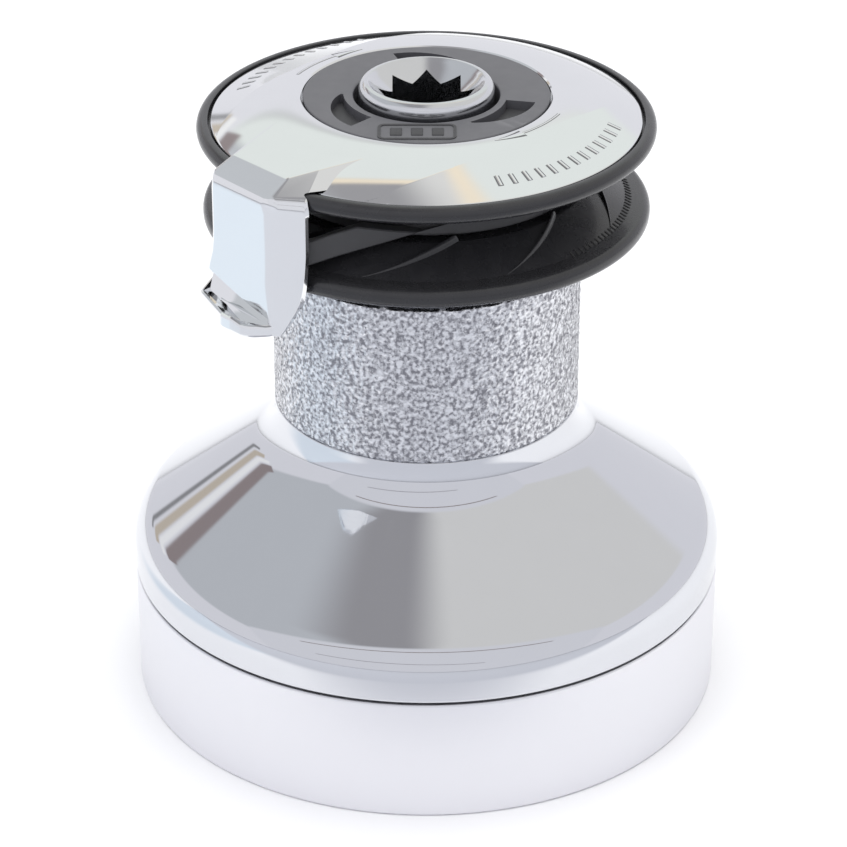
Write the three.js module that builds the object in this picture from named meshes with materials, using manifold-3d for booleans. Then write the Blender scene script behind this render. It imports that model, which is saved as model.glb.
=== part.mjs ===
// A two-speed self-tailing sailboat winch, in millimetres.
// +Z is up, along the winch axis. The origin is on that axis, in the underside of the base.
// A turned body is a closed outline of [radius, height] points.
// A flat body is a closed outline of [x, y] points.
import * as THREE from 'three';
import { mergeVertices } from 'three/addons/utils/BufferGeometryUtils.js';
import { ConvexGeometry } from 'three/addons/geometries/ConvexGeometry.js';
import Module from 'manifold-3d';

const wasm = await Module();
wasm.setup();

// ---------------------------------------------------------------- driving dimensions
const GAP = 0.3;                                    // air left between neighbouring pieces
const BASE = { radius: 79, height: 33.8, wall: 4.4, floor: 5, boltCircle: 65, boltHole: 3.4, bolts: 5 };
const POST = { circle: 62, radius: 7, count: 3, firstAngle: 30, top: 27.7 };
const STEM = { bore: 15.4, plateRadius: 70, plateBottom: 28, plateTop: 33, waist: 18, bridgeRadius: 49,
  bridgeBottom: 48, bridgeTop: 53, column: 29.2, neck: 26.3, neckStart: 124, top: 160.2, headBore: 20.6 };
const DRUM = { skirtBottom: 34.4, shoulder: 46.3, shoulderRound: 11, slope: 35, grip: 40.4, gripFoot: 82.4,
  gripTop: 126, footRound: 14, wall: 4.4, bore: 35, boreTop: 124.3, neckBore: 28.3, neck: 33, neckTop: 152 };
const RING_GEAR = { seat: 63.8, rim: 63.5, bottom: 36.5, height: 10 };
const BEARING = { inner: 29.5, outer: 34.7, lower: 74, upper: 107.8, height: 15, rollers: 20 };
const LOWER_JAW = { bore: 33.3, bottom: 130, rim: 57.7, beadHeight: 137.1, bead: 2.3 };
const UPPER_JAW = { bore: 28.6, bottom: 152.3, rim: 58.8, beadHeight: 159.9, bead: 2.25, top: 160.2 };
// Gripping cone of each jaw: a radius, the height there, its slope, and where it turns flat.
const LOWER_CONE = { at: 52.5, height: 140, slope: 0.54, flatFrom: 42 };
const UPPER_CONE = { at: 54, height: 157.7, slope: 0.475, flatFrom: 42 };
const JAW_RIBS = { count: 9, inner: 42.4, outer: 52, sweep: 27, width: 2.2, riseOut: 0.3, riseIn: 1.2 };
const RING = { bore: 20.9, bottom: 160.5, edge: 55.2, seat: 164.4, capEdge: 32, top: 167.8 };
const CAP = { bore: 18.4, radius: 31.5, bottom: 164.7, top: 167.8, hub: 20.3, hubBottom: 157 };
const SPINDLE = { foot: 2.6, journal: 7.4, body: 10.2, head: 17.3, headStart: 131.5, lip: 15, top: 171.6 };
const SOCKET = { acrossFlats: 17.5, bottom: 136, coneRadius: 15, coneTop: 171.7, coneDepth: 5.6 };
// The dome of the feeder ring, from the cap's edge down to the rim.
const RING_FALL = [[32, 167.8], [37, 167.5], [42, 166.8], [47, 165.6], [51, 164], [53.6, 162.7],
  [55.2, 161.6]];

// Feeder arm: the column's outer side and the flat top in plan, and the outline of the foot.
const COLUMN = { inner: 59.7, bottom: 125.5, top: 163 };
const COLUMN_OUTER = [[-29.6, -53.2], [-37.6, -51.2], [-53.4, -36.5]];
const COLUMN_INNER_AZIMUTHS = [-55.5, -47, -38, -29.3];
const ARM_TOP = [[-49.2, -31.1, 165], [-33.4, -45.5, 165], [-11, -36.8, 167.4], [-35.3, -12.1, 167.4]];
const ARM_ROOT = [[-11, -36.8], [-35.3, -12.1]];
const ARM_UNDER = 162.7;
const FOOT = { bottom: 123.8, top: 130.4, underJaw: 127 };   // underJaw clears the jaw at its lowest
const FOOT_OUTLINE = [[-31.4, -38], [-33, -45.5], [-37.8, -50.6], [-43.8, -52.2], [-49.4, -48], [-54.4, -42],
  [-57.2, -36.6], [-56, -30.5], [-50, -27], [-42.5, -24.5], [-36, -30]];

// Rope stripper. Each section of the blade is [azimuth from the front, inner radius, outer radius].
const STRIPPER = { inner: 36, outer: 40.6, bottom: 146.9, top: 151.2, blade: 6.4, lowest: 141.4, play: 1.9 };
const BLADE = [[8, 37.5, 41], [-4, 40, 43.6], [-16, 44, 47.6], [-25, 48, 52], [-33, 53, 57.4],
  [-39, 55.6, 58.9]];
const STRIPPER_SCREW = { azimuth: -37, height: 145, radius: 1.5, head: 2.6, tip: 54, seat: 61.1, end: 61.9 };

// Socket-head screws: into the base posts, into the stem's head, and into the drum's neck.
const SCREW = { shank: 2.5, head: 5, counterbore: 5.4, seat: 30.2, top: 33.6, bottom: 17 };
const RING_SCREW = { circle: 23.5, shank: 1.4, head: 2.5, seat: 162.3, top: 164.1, bottom: 151 };
const RING_SCREW_ANGLES = [0, 120, 240];
const JAW_SCREW = { circle: 30.8, shank: 1.5, head: 2.8, seat: 156.6, top: 159.4, bottom: 142 };
const JAW_SCREW_ANGLES = [0, 90, 180, 270];
const HOLE_PLAY = 0.25;                             // round the shank of a small screw

// Bushes: [bore, outer radius, bottom, top]. The shaft's three carry it in base, plate and bridge.
const SPINDLE_BUSH = { lower: [7.7, 9.5, 0.4, 6], upper: [17.6, 20.3, 131.8, 156.6] };
const SHAFT_BUSH = { lower: [6.3, 8, 0.4, 6], middle: [6.3, 9, 28.3, 32.7], upper: [5.3, 8, 48.3, 52.7] };
const SPINDLE_SEAL = [17.6, 18.1, 160.3, 163];
const SPACER = { inner: 29.5, outer: 33.5, play: 0.4 };
const IDLER_PIN = { radius: 4.4, bore: 4.7, bottom: 0.8, top: 16.4 };
const SOCKET_MOUTH = { coneFoot: 8.4, below: 8, above: 2 };
const SCREW_ROUND = 8;
const BASE_ROUND = 48;                              // sides of the largest round bodies
const MID_ROUND = 36;
const SMALL_ROUND = 16;

// Gear train. The output shaft drives the ring gear inside the drum; the idler reverses first speed.
const GEAR = { module: 2, pressureAngle: 25, addendum: 0.9, dedendum: 1.15, backlash: 0.4, face: 8 };
const TEETH = { ring: 57, pinion: 18, first: 18, idler: 14, shaft: 12, spindle: 13, second: 26 };
const LEVEL = { first: 7, second: 17 };             // undersides of the two gear levels
const SHAFT_DISTANCE = 39;
const IDLER_FROM_SPINDLE = 32;
const SHAFT_AT = [0, SHAFT_DISTANCE];

// Pawls: pivot circle, pivot radius, length and the two sides of the tip, measured from the pivot.
const SPINDLE_PAWL = { carrier: 12.1, pivot: 8.6, round: 1.8, length: 7.5, tipOut: 0.7, tipIn: -1.6,
  way: -1 };
const SHAFT_PAWL = { carrier: 16.7, pivot: 12.6, round: 2.2, length: 9.5, tipOut: 0.8, tipIn: -1.8, way: 1 };
const PAWL_ANGLES = [20, 200];
const SHAFT_PAWL_ANGLES = [60, 240];
const PAWL_CLEAR = 0.4;                             // above and below a pawl in its pocket
const PAWL_SWING = 13;                              // degrees from folded to swung out
const PAWL_BITE = 5;                                // degrees from the tip corner to the tooth it drives
const FIRST_RATCHET = { tip: 12.4, root: 14, teeth: 10 };
const SECOND_RATCHET = { tip: 17.1, root: 19.9, teeth: 18 };

const CHROME = { color: 0xd9dadd, roughness: 0.12, metalness: 1 };
const SATIN = { color: 0xdfdfe8, roughness: 0.35, metalness: 0.9 };
const CHARCOAL = { color: 0x2b2b2f, roughness: 0.45, metalness: 0 };
const CAP_GREY = { color: 0x4b4b52, roughness: 0.55, metalness: 0 };
const BRONZE = { color: 0xa8793f, roughness: 0.35, metalness: 1 };
const STEEL = { color: 0xb4b6ba, roughness: 0.3, metalness: 1 };
const NYLON = { color: 0xe8e4d8, roughness: 0.6, metalness: 0 };
const RUBBER = { color: 0x1b1b1d, roughness: 0.8, metalness: 0 };

// ---------------------------------------------------------------- solids
const radians = THREE.MathUtils.degToRad;
const polar = (radius, degrees) => [radius * Math.cos(radians(degrees)), radius * Math.sin(radians(degrees))];

// A closed geometry as a manifold solid, turned right side out if its faces point inwards.
function solid(geometry) {
  const bare = new THREE.BufferGeometry();
  bare.setAttribute('position', geometry.getAttribute('position').clone());
  if (geometry.index) bare.setIndex(geometry.index.clone());
  const merged = mergeVertices(bare, 1e-4);
  const vertProperties = new Float32Array(merged.getAttribute('position').array);
  const kept = [];
  const index = merged.index.array;
  for (let i = 0; i < index.length; i += 3) {
    const [a, b, c] = [index[i], index[i + 1], index[i + 2]];
    if (a !== b && b !== c && c !== a) kept.push(a, b, c);
  }
  if (signedVolume(vertProperties, kept) < 0) kept.reverse();
  return new wasm.Manifold(new wasm.Mesh({ numProp: 3, vertProperties, triVerts: new Uint32Array(kept) }));
}

function signedVolume(vertices, triangles) {
  const corner = (i) => new THREE.Vector3(vertices[3 * i], vertices[3 * i + 1], vertices[3 * i + 2]);
  let sum = 0;
  for (let i = 0; i < triangles.length; i += 3) {
    sum += corner(triangles[i]).dot(corner(triangles[i + 1]).cross(corner(triangles[i + 2])));
  }
  return sum / 6;
}

function geometryOf(manifold) {
  const mesh = manifold.getMesh();
  const geometry = new THREE.BufferGeometry();
  geometry.setAttribute('position', new THREE.BufferAttribute(new Float32Array(mesh.vertProperties), 3));
  geometry.setIndex(new THREE.BufferAttribute(new Uint32Array(mesh.triVerts), 1));
  return geometry;
}

// A body turned about the winch axis from its [radius, height] outline.
function turned(outline, sides = MID_ROUND) {
  const points = outline.map(([r, z]) => new THREE.Vector2(r, z));
  const onAxis = points[0].x === 0 && points[points.length - 1].x === 0;
  if (!onAxis) points.push(points[0].clone());
  return solid(new THREE.LatheGeometry(points, sides).rotateX(Math.PI / 2));
}

// A flat outline raised from one height to another.
function plate(outline, bottom, top) {
  const shape = new THREE.Shape(outline.map(([x, y]) => new THREE.Vector2(x, y)));
  const depth = top - bottom;
  return solid(new THREE.ExtrudeGeometry(shape, { depth, bevelEnabled: false }).translate(0, 0, bottom));
}

function rod(radius, bottom, top, [x, y] = [0, 0], sides = SMALL_ROUND) {
  const height = top - bottom;
  const cylinder = new THREE.CylinderGeometry(radius, radius, height, sides).rotateX(Math.PI / 2);
  return solid(cylinder.translate(x, y, bottom + height / 2));
}

function sleeve(inner, outer, bottom, top, [x, y] = [0, 0], sides = SMALL_ROUND) {
  const outline = [[inner, bottom], [outer, bottom], [outer, top], [inner, top]];
  return turned(outline, sides).translate([x, y, 0]);
}

const hull = (points) => solid(new ConvexGeometry(points.map((p) => new THREE.Vector3(...p))));

// Points along an arc of a turned outline, centre [r, z], from one angle to another.
function arc([r, z], radius, from, to, steps) {
  const points = [];
  for (let i = 0; i <= steps; i += 1) {
    const [dr, dz] = polar(radius, from + (to - from) * (i / steps));
    points.push([r + dr, z + dz]);
  }
  return points;
}

// ---------------------------------------------------------------- gears and ratchets
const involute = (angle) => Math.tan(angle) - angle;

// Angle between the middle of a tooth and its flank, at a radius, for a tooth of that pitch thickness.
function flankAngle(teeth, radius, thickness) {
  const pitch = GEAR.module * teeth / 2;
  const pressure = radians(GEAR.pressureAngle);
  const base = pitch * Math.cos(pressure);
  const there = Math.acos(Math.min(1, base / Math.max(radius, base)));
  return thickness / (2 * pitch) + involute(pressure) - involute(there);
}

// Outline of a gear with the middle of one tooth at the phase angle, in degrees.
// An internal gear's outline is the hole: its "teeth" are the spaces of the ring.
function gearOutline(teeth, phase, internal = false) {
  const pitch = GEAR.module * teeth / 2;
  const out = pitch + GEAR.module * (internal ? GEAR.dedendum : GEAR.addendum);
  const inside = pitch - GEAR.module * (internal ? GEAR.addendum : GEAR.dedendum);
  const thickness = Math.PI * GEAR.module / 2 + (internal ? 1 : -1) * GEAR.backlash / 2;
  const radii = [inside, pitch, out];
  const points = [];
  for (let tooth = 0; tooth < teeth; tooth += 1) {
    const middle = radians(phase) + 2 * Math.PI * tooth / teeth;
    const side = radii.map((r) => [r, flankAngle(teeth, r, thickness)]);
    const spot = (r, turn) => [r * Math.cos(turn), r * Math.sin(turn)];
    for (const [r, half] of side) points.push(spot(r, middle - half));
    for (const [r, half] of side.reverse()) points.push(spot(r, middle + half));
  }
  return points;
}

// Phase of a gear that meshes with another whose phase is known. Both are given as { teeth, at }.
function meshedPhase(driver, driverPhase, follower) {
  const [dx, dy] = [follower.at[0] - driver.at[0], follower.at[1] - driver.at[1]];
  const line = THREE.MathUtils.radToDeg(Math.atan2(dy, dx));
  const offset = (line - driverPhase) * driver.teeth / 360;
  return line + 180 - (0.5 - offset) * 360 / follower.teeth;
}

// Phase of the ring gear around a pinion: one of its spaces takes the pinion's tooth.
function ringPhase(pinion, pinionPhase, ringTeeth) {
  const line = THREE.MathUtils.radToDeg(Math.atan2(pinion.at[1], pinion.at[0]));
  return line - (line - pinionPhase) * pinion.teeth / ringTeeth;
}

const gearDisc = ({ teeth, at }, phase, bottom, face = GEAR.face) =>
  plate(gearOutline(teeth, phase), bottom, bottom + face).translate([at[0], at[1], 0]);

// Hole with saw teeth. `way` is the side of each tooth on which its steep face looks.
function ratchetOutline({ tip, root, teeth }, phase, way) {
  const pitch = 360 / teeth;
  const points = [];
  for (let tooth = 0; tooth < teeth; tooth += 1) {
    const steep = phase + tooth * pitch * way;
    points.push(polar(tip, steep), polar(root, steep));
    points.push(polar((root + tip) / 2, steep + way * pitch / 2));
  }
  return points;
}

// ---------------------------------------------------------------- pawls
// A pawl's outline from its pivot, with the tip along +Y or -Y as `way` says.
function pawlOutline({ round, length, tipOut, tipIn, way }) {
  const back = [];
  for (let angle = 180; angle <= 360; angle += 30) back.push(polar(round, angle));
  const outline = [...back, [tipOut, length], [tipIn, length]];
  return outline.map(([x, y]) => [x, way * y]);
}

// The pocket that a pawl folds into, with room behind it for its spring.
function pocketOutline({ round, length, tipIn, way }) {
  const clear = 0.35;
  const back = [];
  for (let angle = 180; angle <= 360; angle += 30) back.push(polar(round + clear, angle));
  const mouth = [[round + clear, 1], [6, 2], [6, length + 0.7], [tipIn - 0.5, length + 0.7]];
  const springRoom = [[tipIn - 2.1, length - 0.6], [tipIn - 2.1, length - 4.6], [tipIn - 0.4, length - 5]];
  return [...back, ...mouth, ...springRoom].map(([x, y]) => [x, way * y]);
}

// A bent leaf that pushes the pawl out from the floor of its pocket.
function springOutline({ length, tipIn, way }) {
  const steps = 6;
  const span = 3.2;
  const outer = [];
  const inner = [];
  for (let i = 0; i <= steps; i += 1) {
    const along = length - 4.3 + span * i / steps;
    const bow = 0.9 * Math.sin(Math.PI * i / steps);
    outer.push([tipIn - 1.45 + bow, along]);
    inner.unshift([tipIn - 1.85 + bow, along]);
  }
  return [...outer, ...inner].map(([x, y]) => [x, way * y]);
}

// A flat outline drawn at the pivot, put at an angle round the shaft and raised to the pawl's height.
function onPivot(outline, pawl, angle, at, bottom, top, swing = 0) {
  const [x, y] = polar(pawl.pivot, angle);
  const turn = angle - pawl.way * swing;
  return plate(outline, bottom, top).rotate([0, 0, turn]).translate([at[0] + x, at[1] + y, 0]);
}

function cutPockets(body, pawl, angles, at, bottom) {
  let left = body;
  for (const angle of angles) {
    const pocket = onPivot(pocketOutline(pawl), pawl, angle, at, bottom - 0.1, bottom + GEAR.face + 1);
    left = left.subtract(pocket);
  }
  return left;
}

// ---------------------------------------------------------------- gear train layout
const idlerAngle = 90 - THREE.MathUtils.radToDeg(Math.acos(
  (SHAFT_DISTANCE ** 2 + IDLER_FROM_SPINDLE ** 2 - (GEAR.module * (TEETH.idler + TEETH.shaft) / 2) ** 2)
  / (2 * SHAFT_DISTANCE * IDLER_FROM_SPINDLE)));
const IDLER_AT = polar(IDLER_FROM_SPINDLE, idlerAngle);
const first = { teeth: TEETH.first, at: [0, 0] };
const idler = { teeth: TEETH.idler, at: IDLER_AT };
const shaftGear = { teeth: TEETH.shaft, at: SHAFT_AT };
const spindleGear = { teeth: TEETH.spindle, at: [0, 0] };
const second = { teeth: TEETH.second, at: SHAFT_AT };
const pinion = { teeth: TEETH.pinion, at: SHAFT_AT };
const idlerPhase = meshedPhase(first, 0, idler);
const shaftGearPhase = meshedPhase(idler, idlerPhase, shaftGear);
const secondPhase = meshedPhase(spindleGear, 0, second);

// ---------------------------------------------------------------- base and stem
const postAngles = [...Array(POST.count).keys()].map((i) => POST.firstAngle + i * 360 / POST.count);

function baseFlange() {
  const { radius, height, wall, floor } = BASE;
  const bore = 9.8;
  let body = turned([[bore, 0], [radius - 0.8, 0], [radius, 0.8],
    [radius, height - 0.6], [radius - 0.6, height], [radius - wall, height],
    [radius - wall, floor], [15, floor], [15, 6.3], [bore, 6.3]], BASE_ROUND);
  body = body.add(rod(11, floor - 1, 6.3, SHAFT_AT)).add(rod(8, floor - 1, 6.3, IDLER_AT));
  body = body.subtract(rod(8.3, -1, 8, SHAFT_AT)).subtract(rod(IDLER_PIN.bore, -1, 8, IDLER_AT));
  for (const angle of postAngles) {
    const at = polar(POST.circle, angle);
    body = body.add(rod(POST.radius, floor - 1, POST.top, at));
    body = body.subtract(rod(SCREW.shank + GAP, SCREW.bottom - 1, POST.top + 1, at, 12));
  }
  for (let i = 0; i < BASE.bolts; i += 1) {
    const at = polar(BASE.boltCircle, 90 + i * 360 / BASE.bolts);
    body = body.subtract(rod(BASE.boltHole, -1, floor + 1, at, 16));
  }
  return body;
}

function centreStem() {
  const s = STEM;
  let body = turned([[s.bore, s.plateBottom], [s.plateRadius, s.plateBottom], [s.plateRadius, s.plateTop],
    [s.waist, s.plateTop], [s.waist, s.bridgeBottom], [s.bridgeRadius, s.bridgeBottom],
    [s.bridgeRadius, s.bridgeTop], [s.column, s.bridgeTop], [s.column, s.neckStart - 1],
    [s.neck, s.neckStart], [s.neck, s.top], [s.headBore, s.top], [s.headBore, 130.5],
    [s.bore, 126]], MID_ROUND);
  body = body.subtract(rod(9.3, s.plateBottom - 1, s.plateTop + 1, SHAFT_AT));
  body = body.subtract(rod(8.3, s.bridgeBottom - 1, s.bridgeTop + 1, SHAFT_AT));
  for (const angle of postAngles) {
    const at = polar(POST.circle, angle);
    body = body.subtract(rod(SCREW.shank + GAP, s.plateBottom - 1, s.plateTop, at, 12));
    body = body.subtract(rod(SCREW.counterbore, SCREW.seat - GAP, s.plateTop + 1, at, 12));
  }
  for (const angle of RING_SCREW_ANGLES) {
    const at = polar(RING_SCREW.circle, angle);
    body = body.subtract(rod(RING_SCREW.shank + 0.2, RING_SCREW.bottom - 1, s.top + 1, at, SCREW_ROUND));
  }
  return body;
}

// A socket-head screw, pointing down, with a hexagon recess in its head.
function headScrew({ shank, head, seat, top, bottom }, at) {
  const recess = rod(head * 0.5, seat + (top - seat) * 0.45, top + 1, at, 6);
  return rod(shank, bottom, seat + 0.1, at, SCREW_ROUND).add(rod(head, seat, top, at, 12)).subtract(recess);
}

// ---------------------------------------------------------------- spindle, shaft and gears
// Two squares turned 45 degrees to each other: the eight-pointed socket that takes a winch handle.
function handleSocket() {
  const corner = SOCKET.acrossFlats / Math.SQRT2;
  const straight = rod(corner, SOCKET.bottom, SPINDLE.top + 1, [0, 0], 4);
  const foot = SOCKET.coneTop - SOCKET.coneDepth;
  const above = SPINDLE.top + SOCKET_MOUTH.above;
  const mouth = turned([[0, foot - SOCKET_MOUTH.below], [SOCKET_MOUTH.coneFoot, foot],
    [SOCKET.coneRadius, SOCKET.coneTop], [SOCKET.coneRadius, above], [0, above]], 24);
  return straight.add(straight.rotate([0, 0, 45])).add(mouth);
}

function mainSpindle() {
  const s = SPINDLE;
  const carrierTop = LEVEL.first + GEAR.face + 0.6;
  let body = turned([[0, s.foot], [s.journal, s.foot], [s.journal, 6.6], [SPINDLE_PAWL.carrier, 6.6],
    [SPINDLE_PAWL.carrier, carrierTop], [s.body, carrierTop], [s.body, s.headStart - 4],
    [s.head, s.headStart], [s.head, 168.6], [s.head - 0.8, 170.6], [s.lip + 0.4, s.top], [0, s.top]], 24);
  body = body.add(gearDisc(spindleGear, 0, LEVEL.second));
  body = cutPockets(body, SPINDLE_PAWL, PAWL_ANGLES, [0, 0], LEVEL.first);
  return body.subtract(handleSocket());
}

function outputShaft() {
  const journal = 6;
  const carrierTop = LEVEL.second + GEAR.face + 0.4;
  const carrierBottom = LEVEL.second - 0.3;
  let body = turned([[0, 0.8], [journal, 0.8], [journal, 6.6], [8, 6.6], [8, carrierBottom],
    [SHAFT_PAWL.carrier, carrierBottom], [SHAFT_PAWL.carrier, carrierTop], [journal, carrierTop + 0.4],
    [journal, 34.5], [5, 34.5], [5, 52.5], [0, 52.5]], SMALL_ROUND).translate([...SHAFT_AT, 0]);
  body = body.add(rod(journal, 34, 47.4, SHAFT_AT, 6));
  body = body.add(gearDisc(shaftGear, shaftGearPhase, LEVEL.first));
  return cutPockets(body, SHAFT_PAWL, SHAFT_PAWL_ANGLES, SHAFT_AT, LEVEL.second);
}

// Angle of a pawl's tip corner round its shaft when the pawl is swung out.
function tipAngle({ pivot, length, tipOut, way }) {
  const swing = radians(PAWL_SWING);
  const x = tipOut * Math.cos(swing) + length * Math.sin(swing);
  const y = length * Math.cos(swing) - tipOut * Math.sin(swing);
  return way * THREE.MathUtils.radToDeg(Math.atan2(y, pivot + x));
}

function ratchetGear() {
  const steep = PAWL_ANGLES[0] + tipAngle(SPINDLE_PAWL) - PAWL_BITE;
  const hole = plate(ratchetOutline(FIRST_RATCHET, steep, 1), LEVEL.first - 1, LEVEL.first + GEAR.face + 1);
  return gearDisc(first, 0, LEVEL.first).subtract(hole);
}

function secondGear() {
  const steep = SHAFT_PAWL_ANGLES[0] + tipAngle(SHAFT_PAWL) + PAWL_BITE;
  const outline = ratchetOutline(SECOND_RATCHET, steep, -1);
  const hole = plate(outline, LEVEL.second - 1, LEVEL.second + GEAR.face + 1);
  return gearDisc(second, secondPhase, LEVEL.second).subtract(hole.translate([...SHAFT_AT, 0]));
}

function ringGear() {
  const { rim, bottom, height } = RING_GEAR;
  const outline = gearOutline(TEETH.ring, ringPhase(pinion, 0, TEETH.ring), true);
  const hole = plate(outline, bottom - 1, bottom + height + 1);
  return rod(rim, bottom, bottom + height, [0, 0], BASE_ROUND).subtract(hole);
}

// A cage of rollers: two wavy walls, with each roller standing a little proud of the cage.
function rollerCage(bottom) {
  const { inner, outer, height, rollers } = BEARING;
  const proud = 0.9;
  const wall = (roller, cage) => {
    const points = [];
    for (let i = 0; i < rollers; i += 1) {
      const middle = i * 360 / rollers;
      points.push(polar(cage, middle - 6.2), polar(roller, middle - 2.4));
      points.push(polar(roller, middle + 2.4), polar(cage, middle + 6.2));
    }
    return points;
  };
  const ring = plate(wall(outer, outer - proud), bottom, bottom + height);
  return ring.subtract(plate(wall(inner, inner + proud), bottom - 1, bottom + height + 1));
}

// ---------------------------------------------------------------- drum and jaws
const coneHeight = (radius) => DRUM.shoulder + (BASE.radius - radius) * Math.tan(radians(DRUM.slope));

// Arc that rounds the corner between the cone and an upright wall. `side` is 1 for the outer shoulder.
function rounding(radius, round, side, steps) {
  const reach = round * Math.tan(radians(90 - DRUM.slope) / 2);
  const centre = [radius - side * round, coneHeight(radius) - side * reach];
  const start = side > 0 ? 0 : 180 + 90 - DRUM.slope;
  const end = side > 0 ? 90 - DRUM.slope : 180;
  return arc(centre, round, start, end, steps);
}

function drum() {
  const d = DRUM;
  const drop = d.wall / Math.cos(radians(d.slope));
  const under = (radius) => [radius, coneHeight(radius) - drop];
  const outline = [
    [BASE.radius - d.wall, d.skirtBottom], [BASE.radius - 0.5, d.skirtBottom],
    [BASE.radius, d.skirtBottom + 0.5],
    ...rounding(BASE.radius, d.shoulderRound, 1, 4),
    ...rounding(d.grip, d.footRound, -1, 3),
    [d.grip, d.gripTop - 1], [d.grip - 1, d.gripTop], [d.neck, d.gripTop], [d.neck, d.neckTop],
    [d.neckBore, d.neckTop], [d.neckBore, d.boreTop], [d.bore, d.boreTop], [d.bore, 72], under(40),
    under(RING_GEAR.seat - 3), [RING_GEAR.seat - 3, 47], [RING_GEAR.seat, 47],
    [RING_GEAR.seat, RING_GEAR.bottom], [RING_GEAR.seat + 3, RING_GEAR.bottom],
    under(RING_GEAR.seat + 3), under(BASE.radius - d.wall)];
  let body = turned(outline, BASE_ROUND);
  for (const angle of JAW_SCREW_ANGLES) {
    const at = polar(JAW_SCREW.circle, angle);
    const hole = rod(JAW_SCREW.shank + HOLE_PLAY, JAW_SCREW.bottom - 1, d.neckTop + 1, at, SCREW_ROUND);
    body = body.subtract(hole);
  }
  return body;
}

// The gripping ribs of a jaw: swept strips cut from a band that lies on the jaw's cone and rises inwards.
// `up` is 1 on the lower jaw and -1 on the upper one, whose ribs lean the other way.
function jawRibs(surface, up, firstAngle) {
  const { count, inner, outer, sweep, width, riseOut, riseIn } = JAW_RIBS;
  const root = 0.8;
  const band = turned([[outer, surface(outer) - up * root], [outer, surface(outer) + up * riseOut],
    [inner, surface(inner) + up * riseIn], [inner, surface(inner) - up * root]], MID_ROUND);
  const steps = 4;
  const leading = [];
  const trailing = [];
  for (let i = 0; i <= steps; i += 1) {
    const share = i / steps;
    const radius = outer + 1 + (inner - outer - 2) * share;
    const half = THREE.MathUtils.radToDeg(width * (0.5 + share) / 2 / radius);
    leading.push(polar(radius, sweep * share * up + half));
    trailing.unshift(polar(radius, sweep * share * up - half));
  }
  const strip = plate([...leading, ...trailing], LOWER_JAW.bottom, UPPER_JAW.top);
  let ribs = null;
  for (let i = 0; i < count; i += 1) {
    const one = strip.rotate([0, 0, firstAngle + i * 360 / count]);
    ribs = ribs ? ribs.add(one) : one;
  }
  return band.intersect(ribs);
}

const lowerSurface = (r) => LOWER_CONE.height + (LOWER_CONE.at - r) * LOWER_CONE.slope;
const upperSurface = (r) => UPPER_CONE.height - (UPPER_CONE.at - r) * UPPER_CONE.slope;

function lowerJaw() {
  const j = LOWER_JAW;
  const flat = lowerSurface(LOWER_CONE.flatFrom);
  const body = turned([[j.bore, j.bottom], [44, j.bottom], [53.6, 134.6],
    ...arc([j.rim - j.bead, j.beadHeight], j.bead, -80, 100, 5),
    [LOWER_CONE.at, LOWER_CONE.height], [LOWER_CONE.flatFrom, flat], [j.bore, flat + 0.2]], MID_ROUND);
  return body.add(jawRibs(lowerSurface, 1, -107));
}

function upperJaw() {
  const j = UPPER_JAW;
  let body = turned([[j.bore, j.bottom], [UPPER_CONE.flatFrom - 8, j.bottom],
    [UPPER_CONE.flatFrom, upperSurface(UPPER_CONE.flatFrom) + 0.4], [UPPER_CONE.at, UPPER_CONE.height],
    ...arc([j.rim - j.bead, j.beadHeight], j.bead, -90, 80, 5),
    [55.8, 162], [55.7, j.top], [j.bore, j.top]], MID_ROUND);
  body = body.add(jawRibs(upperSurface, -1, -80));
  for (const angle of JAW_SCREW_ANGLES) {
    const at = polar(JAW_SCREW.circle, angle);
    body = body.subtract(rod(JAW_SCREW.shank + HOLE_PLAY, j.bottom - 1, j.top + 1, at, SCREW_ROUND));
    body = body.subtract(rod(JAW_SCREW.head + 0.3, JAW_SCREW.seat - 0.3, j.top + 1, at, 12));
  }
  return body;
}

// A single-turn wave spring: a flat strip that rises and falls four times round the drum's neck.
function waveSpring() {
  const spring = { radius: 36.2, middle: 128, wave: 0.9, waves: 4, width: 3.4, thickness: 0.6, turn: 350 };
  class WavyRing extends THREE.Curve {
    getPoint(share, target = new THREE.Vector3()) {
      const angle = radians(spring.turn * share);
      const height = spring.middle + spring.wave * Math.sin(angle * spring.waves);
      return target.set(spring.radius * Math.cos(angle), spring.radius * Math.sin(angle), height);
    }
  }
  const [w, t] = [spring.width / 2, spring.thickness / 2];
  const corners = [[-w, -t], [w, -t], [w, t], [-w, t]];
  const strip = new THREE.Shape(corners.map(([x, y]) => new THREE.Vector2(x, y)));
  return solid(new THREE.ExtrudeGeometry(strip, { steps: 48, extrudePath: new WavyRing() }));
}

// ---------------------------------------------------------------- feeder arm, stripper and cap
function ringOutline() {
  const r = RING;
  const rise = [...RING_FALL].reverse();
  return [[r.bore, r.bottom], [53.5, r.bottom + 0.3], [r.edge - 0.4, r.bottom + 0.5], ...rise,
    [r.capEdge - 0.1, r.seat], [r.bore, r.seat]];
}

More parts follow.
